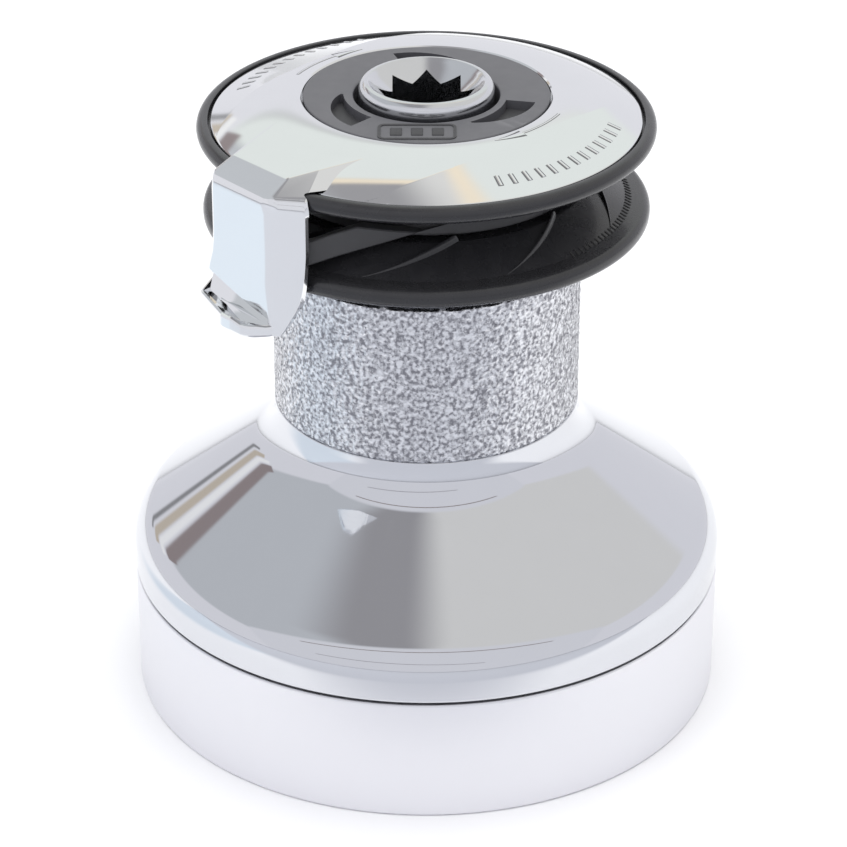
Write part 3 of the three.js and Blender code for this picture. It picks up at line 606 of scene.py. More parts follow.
GEAR_BRONZE = Finish("gear_bronze", (0.5, 0.3, 0.12), (0.42, 0.25, 0.1), 0.32, spread=0.08, metallic=1.0,
                     grain=0.6, depth=0.006, strength=0.35, way=Ways.TURNED, worn=(0.75, 0.52, 0.26), wear=0.7)
PLAIN_STEEL = Finish("plain_steel", (0.52, 0.53, 0.55), (0.45, 0.46, 0.48), 0.28, spread=0.07, metallic=1.0,
                     grain=0.5, depth=0.004, strength=0.3, way=Ways.TURNED, worn=(0.8, 0.8, 0.8), wear=0.5)
CAST_METAL = Finish("cast_metal", (0.5, 0.5, 0.52), (0.43, 0.43, 0.45), 0.45, spread=0.08, metallic=0.9,
                    grain=1.1, depth=0.03, strength=0.5, worn=(0.7, 0.7, 0.7), wear=0.4, dust=0.1)
BEARING_NYLON = Finish("bearing_nylon", (0.78, 0.76, 0.68), (0.72, 0.7, 0.62), 0.5, spread=0.05,
                       grain=0.5, depth=0.01, strength=0.25, worn=(0.85, 0.84, 0.78), wear=0.2)
SEAL_RUBBER = Finish("seal_rubber", (0.012, 0.012, 0.013), (0.02, 0.02, 0.02), 0.7, spread=0.08,
                     grain=0.3, depth=0.01, strength=0.5, worn=(0.06, 0.06, 0.06), wear=0.2, dust=0.1)
MARK_SHADE = Finish("mark_shade", (0.16, 0.16, 0.165), (0.1, 0.1, 0.105), 0.4, spread=0.08, metallic=0.6,
                    grain=0.3, depth=0.01, strength=0.3, worn=(0.5, 0.5, 0.5), wear=0.3, dust=0.0)


def dress(piece: bpy.types.Object, finish: Finish) -> bpy.types.Object:
    """Gives the whole piece one finish."""
    piece.data.materials.clear()
    piece.data.materials.append(finish.material())
    return piece


def fit(piece: bpy.types.Object, body: str, slot: str, *nodes: str) -> None:
    """Puts a finished piece on its body and reports it.

    Args:
        piece: The finished piece.
        body: Name of the body it moves with.
        slot: Name of the record's material slot; not used.
        *nodes: CAD nodes that the piece stands for.
    """
    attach(piece, body)
    if nodes:
        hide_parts(*nodes)
    LOG.info("%s: %d faces on %s", piece.name, len(piece.data.polygons), body)


# ---------------------------------------------------------------- geometry node trees
@dataclass
class RoundOfCopies:
    """Geometry Nodes tree that spreads copies of one item round the winch axis."""

    name: str
    count: int
    first: float
    step: float
    finish: Finish

    def tree(self) -> tuple[bpy.types.NodeTree, dict[str, str]]:
        """Builds the tree.

        Returns:
            The tree, and the identifier of each named input.
        """
        tree = bpy.data.node_groups.new(self.name, "GeometryNodeTree")
        sockets = {}
        for label, kind in (("Item", "NodeSocketGeometry"), ("Count", "NodeSocketInt"),
                            ("First angle", "NodeSocketFloat"), ("Step angle", "NodeSocketFloat"),
                            ("Finish", "NodeSocketMaterial")):
            socket = tree.interface.new_socket(name=label, in_out="INPUT", socket_type=kind)
            sockets[label] = socket.identifier
        tree.interface.new_socket(name="Copies", in_out="OUTPUT", socket_type="NodeSocketGeometry")
        w = Wiring(tree)
        start, end = w.add("NodeGroupInput"), w.add("NodeGroupOutput")
        places = w.add("GeometryNodePoints")
        w.join(start.outputs["Count"], places.inputs["Count"])
        index = w.add("GeometryNodeInputIndex").outputs[0]
        turned = w.sums("MULTIPLY", index, start.outputs["Step angle"])
        turned = w.sums("RADIANS", w.sums("ADD", turned, start.outputs["First angle"]))
        euler = w.add("ShaderNodeCombineXYZ")
        w.join(turned, euler.inputs["Z"])
        rotation = w.add("FunctionNodeEulerToRotation")
        w.join(euler.outputs[0], rotation.inputs[0])
        copies = w.add("GeometryNodeInstanceOnPoints")
        w.join(places.outputs[0], copies.inputs["Points"])
        w.join(start.outputs["Item"], copies.inputs["Instance"])
        w.join(rotation.outputs[0], copies.inputs["Rotation"])
        real = w.add("GeometryNodeRealizeInstances")
        w.join(copies.outputs[0], real.inputs[0])
        dressed = w.add("GeometryNodeSetMaterial")
        w.join(real.outputs[0], dressed.inputs["Geometry"])
        w.join(start.outputs["Finish"], dressed.inputs["Material"])
        w.join(dressed.outputs[0], end.inputs[0])
        return tree, sockets

    def spread(self, item: bpy.types.Object, crease: float = 32) -> bpy.types.Object:
        """Replaces an item with its copies round the axis.

        Args:
            item: The object to copy.
            crease: Angle in degrees past which an edge stays sharp.

        Returns:
            The same object, holding all the copies as one plain mesh.
        """
        tree, sockets = self.tree()
        step = item.modifiers.new("round", "NODES")
        step.node_group = tree
        step[sockets["Count"]] = self.count
        step[sockets["First angle"]] = self.first
        step[sockets["Step angle"]] = self.step
        step[sockets["Finish"]] = self.finish.material()
        return settle(item, crease)


@dataclass
class CrinkledSkin:
    """Geometry Nodes tree that roughens a skin into the crumpled face of a rope grip."""

    name: str
    cell: float
    depth: float
    finish: Finish

    def tree(self) -> tuple[bpy.types.NodeTree, dict[str, str]]:
        """Builds the tree.

        Returns:
            The tree, and the identifier of each named input.
        """
        tree = bpy.data.node_groups.new(self.name, "GeometryNodeTree")
        sockets = {}
        for label, kind in (("Skin", "NodeSocketGeometry"), ("Cell", "NodeSocketFloat"),
                            ("Depth", "NodeSocketFloat"), ("Finish", "NodeSocketMaterial")):
            socket = tree.interface.new_socket(name=label, in_out="INPUT", socket_type=kind)
            sockets[label] = socket.identifier
        tree.interface.new_socket(name="Skin", in_out="OUTPUT", socket_type="NodeSocketGeometry")
        w = Wiring(tree)
        start, end = w.add("NodeGroupInput"), w.add("NodeGroupOutput")
        place = w.add("GeometryNodeInputPosition").outputs[0]
        scale = w.sums("DIVIDE", 1.0, start.outputs["Cell"])
        facets = w.add("ShaderNodeTexVoronoi", feature="F1")
        w.join(place, facets.inputs["Vector"])
        w.join(scale, facets.inputs["Scale"])
        folds = w.add("ShaderNodeTexNoise")
        folds.inputs["Detail"].default_value = 3.0
        folds.inputs["Distortion"].default_value = 1.4
        w.join(place, folds.inputs["Vector"])
        w.join(w.sums("MULTIPLY", scale, 0.7), folds.inputs["Scale"])
        ridge = w.sums("ABSOLUTE", w.sums("SUBTRACT", folds.outputs[0], 0.5))
        lift = w.sums("SUBTRACT", w.sums("MULTIPLY", ridge, 2.2), w.sums("MULTIPLY", facets.outputs[0], 0.55))
        lift = w.sums("MULTIPLY", lift, start.outputs["Depth"])
        push = w.add("ShaderNodeVectorMath", operation="SCALE")
        w.join(w.add("GeometryNodeInputNormal").outputs[0], push.inputs[0])
        w.join(lift, push.inputs["Scale"])
        moved = w.add("GeometryNodeSetPosition")
        w.join(start.outputs["Skin"], moved.inputs["Geometry"])
        w.join(push.outputs[0], moved.inputs["Offset"])
        real = w.add("GeometryNodeRealizeInstances")
        w.join(moved.outputs[0], real.inputs[0])
        dressed = w.add("GeometryNodeSetMaterial")
        w.join(real.outputs[0], dressed.inputs["Geometry"])
        w.join(start.outputs["Finish"], dressed.inputs["Material"])
        w.join(dressed.outputs[0], end.inputs[0])
        return tree, sockets

    def crumple(self, skin: bpy.types.Object) -> bpy.types.Object:
        """Roughens a skin and makes it a plain mesh.

        Args:
            skin: The object to roughen.

        Returns:
            The same object.
        """
        tree, sockets = self.tree()
        step = skin.modifiers.new("crumple", "NODES")
        step.node_group = tree
        step[sockets["Cell"]] = self.cell * MM
        step[sockets["Depth"]] = self.depth * MM
        step[sockets["Finish"]] = self.finish.material()
        return settle(skin, 50)


# ---------------------------------------------------------------- base and drum
@dataclass
class BaseCover:
    """Round satin cover that stands on the deck and holds the gears."""

    radius: float = 79.0
    height: float = 33.8
    wall: float = 4.4
    floor: float = 5.0
    bolt_circle: float = 65.0
    bolt_hole: float = 3.4
    post_circle: float = 62.0

    def build(self) -> None:
        """Turns the cover, drills its bolt holes and sets its inner posts."""
        inside = self.radius - self.wall
        cover = as_object(turned_shape(eased_outline([
            (9.6, 0.0, 0.3), (self.radius, 0.0, 0.9), (self.radius, self.height, 0.5),
            (inside, self.height, 0.4), (inside, self.floor, 1.5), (9.6, self.floor, 0.5)])), "base_cover")
        drills = []
        for i in range(5):
            x, y = polar(self.bolt_circle, 36 + 72 * i)
            drill = bmesh.new()
            bmesh.ops.create_cone(drill, cap_ends=True, segments=32, radius1=self.bolt_hole,
                                  radius2=self.bolt_hole, depth=20, matrix=Matrix.Translation((x, y, 2)))
            drills.append(drill)
        carve(cover, drills)
        dress(cover, SATIN_COVER)
        fit(cover, "base", "satin_cover", "base_flange")
        post = as_object(turned_shape(eased_outline([
            (0.0, 4.5, 0.0), (7.0, 4.5, 0.0), (7.0, 27.7, 0.8), (0.0, 27.7, 0.0)]), 48), "base_posts")
        post.data.transform(Matrix.Translation((self.post_circle * MM, 0, 0)))
        RoundOfCopies("base_post_round", 3, 30, 120, CAST_METAL).spread(post)
        fit(post, "base", "cast_alloy")


@dataclass
class Drum:
    """Chromed bell drum with its crinkled rope grip."""

    rim: float = 79.0
    skirt: float = 34.4
    shoulder: float = 46.3
    shoulder_round: float = 11.0
    slope: float = 35.0
    grip: float = 40.4
    grip_foot: float = 82.4
    grip_top: float = 126.0
    foot_round: float = 14.0
    wall: float = 4.4

    def cone(self, radius: float, drop: float = 0.0) -> float:
        """Height of the bell's cone at a radius."""
        return self.shoulder + (self.rim - radius) * math.tan(math.radians(self.slope)) - drop

    def shell(self) -> None:
        """Turns the chromed shell."""
        drop = self.wall / math.cos(math.radians(self.slope))
        bed = self.grip - 0.55
        corners = [
            (self.rim - self.wall, self.skirt, 0.3), (self.rim, self.skirt, 0.7),
            (self.rim, self.shoulder, self.shoulder_round), (self.grip, self.cone(self.grip), self.foot_round),
            (self.grip, self.grip_foot, 0.3), (bed, self.grip_foot + 0.1, 0.0), (bed, self.grip_top - 0.4, 0.4),
            (33.0, self.grip_top - 0.4, 0.0), (33.0, 152.0, 0.3), (28.3, 152.0, 0.0), (28.3, 124.3, 0.0),
            (35.0, 124.3, 0.0), (35.0, 72.0, 0.0), (40.0, self.cone(40.0, drop), 0.0),
            (60.8, self.cone(60.8, drop), 0.0), (60.8, 47.0, 0.0), (63.8, 47.0, 0.0), (63.8, 36.5, 0.0),
            (66.8, 36.5, 0.0), (66.8, self.cone(66.8, drop), 0.0), (self.rim - self.wall, 43.8, 0.0)]
        shell = as_object(turned_shape(eased_outline(corners, steps=24), 288), "drum_shell")
        dress(shell, MIRROR_CHROME)
        fit(shell, "drum", "chromed_drum", "drum")

    def rope_grip(self) -> None:
        """Turns the sleeve that rope wraps round and crumples its face."""
        face = self.grip - 0.1
        low, high = self.grip_foot + 0.15, self.grip_top
        rows = 100
        outline = [(self.grip - 1.6, low), (face - 0.35, low)]
        outline += [(face, low + 0.3 + (high - low - 0.7) * i / rows) for i in range(rows + 1)]
        outline += [(face - 0.4, high), (self.grip - 1.6, high)]
        grip = as_object(turned_shape(outline, 600), "rope_grip", 50)
        CrinkledSkin("crinkled_skin", 1.15, 0.62, GRIP_METAL).crumple(grip)
        fit(grip, "drum", "chromed_drum")


# ---------------------------------------------------------------- self-tailing jaws
@dataclass
class Jaw:
    """One self-tailing jaw: a turned ring with swept ribs on its gripping cone."""

    name: str
    body: str
    node: str
    up: int
    first: float
    corners: Sequence[Corner]
    cone_at: Point
    cone_slope: float
    rib_inner: float = 41.8
    rib_outer: float = 52.3
    sweep: float = 27.0
    ribs: int = 9

    def surface(self, radius: float) -> float:
        """Height of the gripping cone at a radius."""
        at, height = self.cone_at
        return height + self.up * (at - radius) * self.cone_slope

    def rib(self) -> bmesh.types.BMesh:
        """One rib, which grows in width and height towards the axis.

        Returns:
            The rib in millimetres, starting at azimuth 90 so that a turn of 0 is along +X.
        """
        steps = 22
        sections = []
        for i in range(steps + 1):
            share = i / steps
            radius = self.rib_outer + (self.rib_inner - self.rib_outer) * share
            turn = 90 + self.sweep * share * self.up
            ground = self.surface(radius)
            half = 0.25 + 1.05 * math.sin(math.pi * min(share * 1.1, 1.0) * 0.5)
            rise = 0.15 + 1.35 * smooth(share)
            x, y = polar(radius, turn)
            across = Vector((math.cos(math.radians(turn)) * 0.9, math.sin(math.radians(turn)) * 0.9))
            section = []
            for side, height in ((-1.5, -0.6), (-1.15, 0.25), (-0.45, 0.95), (0.25, 1.0), (0.75, 0.5), (1.1, -0.6)):
                section.append((x + across.x * side * half, y + across.y * side * half,
                                ground + self.up * (height * rise if height > 0 else height)))
            sections.append(section)
        return lofted_shape(sections)

    def build(self) -> None:
        """Turns the jaw, adds its ribs and dresses it."""
        ring = as_object(turned_shape(eased_outline(self.corners, steps=14), 240), self.name + "_ring")
        dress(ring, JAW_PLASTIC)
        rib = as_object(self.rib(), self.name + "_ribs", 60)
        RoundOfCopies(self.name + "_round", self.ribs, self.first, 360 / self.ribs, JAW_PLASTIC).spread(rib, 60)
        jaw = merge(self.name, [ring, rib])
        fit(jaw, self.body, "jaw_composite", self.node)


@dataclass
class SizeTicks:
    """Short engraved strokes on the lower jaw's rim, in place of a rope size table."""

    radius: float = 52.3
    height: float = 140.1
    slope: float = 0.54
    length: float = 2.1
    width: float = 0.42

    def build(self) -> None:
        """Makes one stroke and spreads it along the rim."""
        half = self.width / 2
        stroke = bmesh.new()
        spots = []
        for along, side in ((0, -half), (0, half), (1, half), (1, -half)):
            radius = self.radius - self.length / 2 + along * self.length
            spots.append((radius, side, self.height + (52.5 - radius) * self.slope))
        low = [stroke.verts.new((x, y, z - 0.15)) for x, y, z in spots]
        high = [stroke.verts.new((x, y, z + 0.09)) for x, y, z in spots]
        stroke.faces.new(high)
        stroke.faces.new(list(reversed(low)))
        for i in range(4):
            n = (i + 1) % 4
            stroke.faces.new((low[i], low[n], high[n], high[i]))
        bmesh.ops.recalc_face_normals(stroke, faces=stroke.faces)
        ticks = as_object(stroke, "jaw_size_ticks")
        RoundOfCopies("tick_round", 30, -46, 1.9, SEAL_RUBBER).spread(ticks)
        fit(ticks, "lower_jaw", "jaw_composite")


# ---------------------------------------------------------------- feeder ring and arm
@dataclass
class FeederRing:
    """Polished ring round the cap, with a crescent facet and engraved marks on each side."""

    bore: float = 20.9
    seat: float = 164.4
    bottom: float = 160.5
    inner: float = 32.0
    top: float = 167.8
    edge: float = 55.2
    flat: float = 54.9
    fall: float = 6.1
    pip: Point = (47.2, 50.6)
    facet: tuple[Point, ...] = ((-16.0, 54.9), (-6.0, 49.5), (10.6, 42.8), (39.2, 36.9), (63.8, 38.3),
                                (80.0, 43.4), (94.7, 49.9), (106.0, 54.9))

    def dome(self, radius: float) -> float:
        """Height of the ring's plain dome at a radius."""
        share = max(radius - self.inner + 1.0, 0.0) / (self.edge - self.inner + 1.0)
        return self.top - self.fall * share**2.3

    def crease(self, azimuth: float) -> float:
        """Radius of the crescent's inner edge at an azimuth."""
        turn = (azimuth + 90) % 180 - 90
        turn = turn + 180 if turn < -60 else turn
        return through(self.facet, turn)

    def height(self, radius: float, azimuth: float) -> float:
        """Height of the ring's top at a radius and an azimuth, crescents included."""
        crease = self.crease(azimuth)
        if radius <= crease or crease > self.flat - 0.3:
            return self.dome(radius)
        share = (radius - crease) / (self.flat - crease)
        return self.dome(crease) + (self.dome(self.flat) - self.dome(crease)) * min(share, 1.0)

    def shape(self) -> bmesh.types.BMesh:
        """The ring, with a row of points held on the crescent's edge all round.

        Returns:
            The ring in millimetres.
        """
        shape = bmesh.new()
        sides = 360
        under = eased_outline([(self.flat, 161.0, 0.0), (53.0, self.bottom, 0.5), (self.bore, self.bottom, 0.3),
                               (self.bore, self.seat, 0.3), (self.inner - 0.15, self.seat, 0.0),
                               (self.inner - 0.15, self.top - 0.35, 0.0)], 6)
        under = under[:under.index((self.inner - 0.15, self.top - 0.35)) + 1]
        rows = []
        for i in range(sides):
            azimuth = 360 * i / sides
            crease = self.crease(azimuth)
            radii = [self.inner + 0.25 + (crease - 0.2 - self.inner - 0.25) * k / 22 for k in range(23)]
            band = self.flat - crease
            radii += [crease, crease + 0.2 * band / (band + 0.01)]
            radii += [crease + band * (0.08 + 0.92 * k / 14) for k in range(15)]
            spots = [(r, self.height(r, azimuth)) for r in radii]
            last = spots[-1][1]
            spots += [(55.1, last - 0.15), (self.edge, last - 0.4), (self.edge, 161.45), (55.1, 161.15)]
            rows.append([shape.verts.new((*polar(r, azimuth), z)) for r, z in [*spots, *under]])
        count = len(rows[0])
        for i in range(sides):
            here, on = rows[i], rows[(i + 1) % sides]
            for k in range(count):
                n = (k + 1) % count
                shape.faces.new((here[k], on[k], on[n], here[n]))
        bmesh.ops.remove_doubles(shape, verts=shape.verts, dist=1e-3)
        bmesh.ops.recalc_face_normals(shape, faces=shape.faces)
        return shape

    def stroke(self, path: Sequence[Point], width: float, lift: float, taper: float = 1.0) -> bmesh.types.BMesh:
        """Stroke that lies on the ring's top.

        Args:
            path: (azimuth, radius) points along the stroke.
            width: Width at its start.
            lift: Height above the ring.
            taper: Width at its end, as a share of the start.

        Returns:
            The stroke in millimetres.
        """
        sections = []
        fine: list[Point] = []
        for (a0, r0), (a1, r1) in zip(path, path[1:]):
            steps = max(2, int(abs(a1 - a0)))
            fine += [(a0 + (a1 - a0) * k / steps, r0 + (r1 - r0) * k / steps) for k in range(steps)]
        fine.append(path[-1])
        for i, (azimuth, radius) in enumerate(fine):
            back, on = fine[max(i - 1, 0)], fine[min(i + 1, len(fine) - 1)]
            along = (Vector(polar(on[1], on[0])) - Vector(polar(back[1], back[0]))).normalized()
            side = Vector((-along.y, along.x))
            half = width / 2 * (1 + (taper - 1) * i / (len(fine) - 1))
            middle = Vector(polar(radius, azimuth))
            section = []
            for across, height in ((-1.0, -0.3), (-1.0, lift * 0.5), (-0.6, lift), (0.6, lift), (1.0, lift * 0.5),
                                   (1.0, -0.3)):
                spot = middle + side * half * across
                turn = math.degrees(math.atan2(spot.y, spot.x)) + 90
                section.append((spot.x, spot.y, self.height(spot.length, turn) + height))
            sections.append(section)
        return lofted_shape(sections)

    def marks(self) -> list[bpy.types.Object]:
        """Engraved arrows and plain strokes on both sides of the ring.

        Returns:
            The marks, dressed.
        """
        made = []
        for side in (0.0, 180.0):
            arrow = [(69.0 + side, 35.6), (52.0 + side, 34.9), (42.0 + side, 34.6)]
            head = [(43.5 + side, 34.7), (29.5 + side, 34.2)]
            for label, path, width, taper in (("shaft", arrow, 0.8, 1.0), ("head", head, 3.4, 0.08)):
                dark = as_object(self.stroke(path, width, 0.03, taper), f"arrow_{label}_{side:.0f}")
                made.append(dress(dark, MARK_SHADE))
                bright = as_object(self.stroke(path, width * 0.55, 0.12, taper), f"arrow_{label}_top_{side:.0f}")
                made.append(dress(bright, ARM_CHROME))
            for i in range(13):
                turn = 21.0 + side + 4.5 * i
                path = [(turn, self.pip[0]), (turn, self.pip[1])]
                dark = as_object(self.stroke(path, 1.5, 0.03), f"pip_{side:.0f}_{i}")
                made.append(dress(dark, MARK_SHADE))
                bright = as_object(self.stroke(path, 0.8, 0.2), f"pip_top_{side:.0f}_{i}")
                made.append(dress(bright, ARM_CHROME))
        return made


@dataclass
class FeederArm:
    """Arm that reaches over the jaws, with its upright column, foot and rope pocket.

    The shoulder, edge, facet and face rings are the (x, y, z, rounding) corners of the sections that carry
    the column over into the flat top: left, front, right, inner right and inner left. A foot corner also
    has the heights of the foot's underside and top. A trough station is the distance along the column's
    face, how deep the roof and the heel lie, how far out the lip is, and the floor's and roof's heights.
    """

    clear: float = 59.45
    under: float = 162.55
    under_round: float = 2.8
    sill: float = 127.0
    shoulder: tuple[Knuckle, ...] = (
        (-53.4, -36.5, 157.5, 1.4), (-38.6, -50.9, 157.5, 10.0), (-29.6, -53.0, 157.5, 0.5),
        (-12.0, -39.8, 161.0, 0.5), (-36.8, -13.8, 161.0, 0.5))
    edge: tuple[Knuckle, ...] = (
        (-52.6, -34.9, 162.1, 1.2), (-38.0, -50.0, 161.3, 4.0), (-29.3, -51.5, 161.4, 0.8),
        (-11.0, -39.8, 164.8, 0.5), (-36.3, -12.8, 165.0, 0.5))
    facet: tuple[Knuckle, ...] = (
        (-47.6, -31.5, 165.0, 0.8), (-33.7, -46.2, 165.0, 0.8), (-26.2, -43.1, 165.8, 0.8),
        (-11.0, -36.8, 167.35, 0.5), (-35.3, -12.1, 167.35, 0.5))
    face: tuple[Knuckle, ...] = (
        (-46.9, -31.5, 165.12, 0.6), (-33.6, -45.4, 165.12, 0.6), (-26.4, -42.4, 165.9, 0.6),
        (-11.6, -36.4, 167.4, 0.4), (-35.3, -13.0, 167.4, 0.4))
    foot_corners: tuple[tuple[float, float, float, float, float], ...] = (
        (-53.5, -29.8, 126.6, 131.4, 1.5), (-57.0, -36.9, 126.4, 130.2, 2.5), (-50.3, -48.2, 124.6, 128.6, 9.0),
        (-44.4, -52.1, 124.1, 127.6, 6.0), (-37.6, -51.5, 124.1, 127.2, 4.5), (-34.0, -46.0, 124.2, 126.4, 3.0),
        (-32.0, -38.0, 124.2, 126.2, 1.0), (-43.0, -28.0, 125.0, 127.5, 1.0))
    foot_middle: Point = (-43.5, -40.5)
    trough: tuple[tuple[float, float, float, float, float, float], ...] = (
        (-1.4, -2.6, 0.6, 1.5, 128.5, 136.6), (6.0, -2.2, 2.0, 3.0, 127.4, 133.6),
        (13.0, -1.7, 2.5, 3.9, 126.8, 130.8), (19.8, -0.9, 0.1, 0.6, 126.9, 128.7))
    face_start: Point = (-53.4, -36.5)
    face_end: Point = (-38.6, -50.9)
    right_x: tuple[Point, ...] = ((124.5, -36.0), (126.5, -34.8), (129.0, -33.4), (134.0, -31.3), (140.0, -30.2),
                                  (147.0, -29.6))
    left_x: tuple[Point, ...] = ((124.5, -55.0), (134.0, -55.1), (137.5, -54.8), (141.0, -53.9), (146.0, -53.4))
    levels: tuple[float, ...] = (124.5, 126.5, 129.0, 131.5, 134.0, 136.0, 137.5, 139.0, 141.0, 144.0, 147.0, 157.0)

    def on_face(self, along: float, out: float, height: float) -> Spot:
        """Spot given by its distance along the column's left face, out from it, and its height."""
        start, end = Vector(self.face_start), Vector(self.face_end)
        run = (end - start).normalized()
        away = Vector((run.y, -run.x))
        spot = start + run * along + away * out
        return spot.x, spot.y, height

    def ring(self, corners: Sequence[Knuckle]) -> list[Spot]:
        """Closed ring with rounded corners.

        Args:
            corners: (x, y, z, rounding) of each corner, every rounding above zero.

        Returns:
            The spots in order, as many for each corner.
        """
        steps = 8
        flat = eased_outline([(x, y, rounding) for x, y, _, rounding in corners], steps, 1000.0)
        return [(x, y, corners[i // (steps + 1)][2]) for i, (x, y) in enumerate(flat)]

    def column_ring(self, height: float) -> list[Spot]:
        """Section of the column at a height: left, front, right and two hidden inner corners."""
        left, right = through(self.left_x, height), through(self.right_x, height)
        front_round = 3.0 + 7.0 * smooth((height - 126.0) / 14.0)
        deep = smooth((height - 129.0) / 5.0)
        return self.ring(((left, -36.5, height, 1.4), (-38.6, -50.9, height, front_round),
                          (right, -53.0 - (right + 29.6) * 0.24, height, 0.5),
                          (-32.5 + 14.5 * deep, -41.0 + deep, height, 0.5),
                          (-45.0 + 7.0 * deep, -28.5 + 12.7 * deep, height, 0.5)))

    def body(self) -> bmesh.types.BMesh:
        """Column and flat-topped block in one skin, from the foot to the top facet."""
        rings = [self.column_ring(height) for height in self.levels]
        shoulder, edge, facet, face = (self.ring(part) for part in (self.shoulder, self.edge, self.facet, self.face))
        rings.append(shoulder)
        last = math.radians(70)
        for step in range(1, 6):
            turn = last * step / 5
            out, up = (1 - math.cos(turn)) / (1 - math.cos(last)), math.sin(turn) / math.sin(last)
            rings.append([(x0 + (x1 - x0) * out, y0 + (y1 - y0) * out, z0 + (z1 - z0) * up)
                          for (x0, y0, z0), (x1, y1, z1) in zip(shoulder, edge)])
        for share in (0.1, 0.9):
            rings.append([tuple(low + (high - low) * share for low, high in zip(here, on))
                          for here, on in zip(edge, facet)])
        rings += [[(x, y, z - 0.06) for x, y, z in facet], face]
        return lofted_shape(rings)

    def foot(self) -> bmesh.types.BMesh:
        """Lip under the column that catches the rope."""
        middle = Vector(self.foot_middle)
        rings = []
        for top, inset, lift in ((False, 1.2, 0.0), (False, 0.4, 0.25), (False, 0.0, 0.9), (True, 0.0, -0.7),
                                 (True, 0.25, -0.2), (True, 0.8, 0.0)):
            ring = []
            for x, y, low, high, rounding in self.foot_corners:
                inward = (middle - Vector((x, y))).normalized() * inset
                ring.append((x + inward.x, y + inward.y, (high if top else low) + lift, rounding))
            rings.append(self.ring(ring))
        return lofted_shape(rings)

    def pocket(self) -> bmesh.types.BMesh:
        """Slanted trough between the foot's lip and the column."""
        rings = []
        for along, deep, heel, reach, floor, roof in self.trough:
            rings.append([self.on_face(along, out, height) for out, height in
                          ((heel, floor), (reach, floor + 0.2), (reach + 1.6, roof + 0.4), (deep, roof))])
        return lofted_shape(rings)

    def build(self) -> None:
        """Joins the arm's solids, cuts its window and pocket, and adds the ring and its marks."""
        arm = as_object(self.body(), "feeder_arm_body")
        carve(arm, [self.foot()], Carve.JOIN, 24)
        opening = eased_outline([(20.0, self.sill, 0.0), (self.clear, self.sill, 0.5),
                                 (self.clear, self.under, self.under_round), (20.0, self.under, 0.0)])
        window = turned_shape(opening, 180)
        carve(arm, [self.pocket()], Carve.CUT, 24)
        carve(arm, [window], Carve.CUT, 24)
        dress(arm, ARM_CHROME)
        even_shading(arm)
        ring_maker = FeederRing()
        ring = dress(as_object(ring_maker.shape(), "feeder_ring", 9), ARM_CHROME)
        whole = merge("feeder_arm_ring", [ring, arm])
        fit(whole, "base", "chromed_arm", "feeder_arm")
        marks = merge("ring_marks", ring_maker.marks())
        fit(marks, "base", "chromed_arm")


@dataclass
class RopeStripper:
    """Guide that lifts the rope out of the jaws and hands it to the arm."""

    sections: tuple[tuple[float, float, float], ...] = (
        (14.0, 36.6, 40.2), (8.0, 37.5, 41.0), (-4.0, 40.0, 43.6), (-16.0, 44.0, 47.6), (-25.0, 48.0, 52.0),
        (-33.0, 53.0, 57.0), (-39.0, 55.6, 58.9))

    def build(self) -> None:
        """Turns the guide's ring and sweeps its blade out to the arm."""
        outline = eased_outline([(36.0, 146.9, 0.4), (40.6, 146.9, 0.4), (40.6, 151.2, 0.4), (36.0, 151.2, 0.4)], 5)
        ring = as_object(turned_shape(outline, 160), "stripper_ring")
        stations = sorted(self.sections)
        inner = [(azimuth, inside) for azimuth, inside, _ in stations]
        outer = [(azimuth, outside) for azimuth, _, outside in stations]
        rows = []
        steps = 48
        for i in range(steps + 1):
            azimuth = -39.0 + 53.0 * i / steps
            inside, outside = through(inner, azimuth), through(outer, azimuth)
            bottom = max(140.0 + (52.5 - inside) * 0.54 + 1.9, 141.4)
            top = min(bottom + 6.4, 157.7 - (54.0 - inside) * 0.475 - 1.8)
            row = []
            for radius, height in ((inside, bottom + 0.3), (inside + 0.3, bottom), (outside - 0.3, bottom),
                                   (outside, bottom + 0.3), (outside, top - 0.3), (outside - 0.3, top),
                                   (inside + 0.3, top), (inside, top - 0.3)):
                row.append((*polar(radius, azimuth), height))
            rows.append(row)
        blade = as_object(lofted_shape(rows), "stripper_blade")
        guide = merge("rope_stripper", [dress(ring, STRIPPER_PLASTIC), dress(blade, STRIPPER_PLASTIC)])
        fit(guide, "base", "stripper_composite", "stripper")


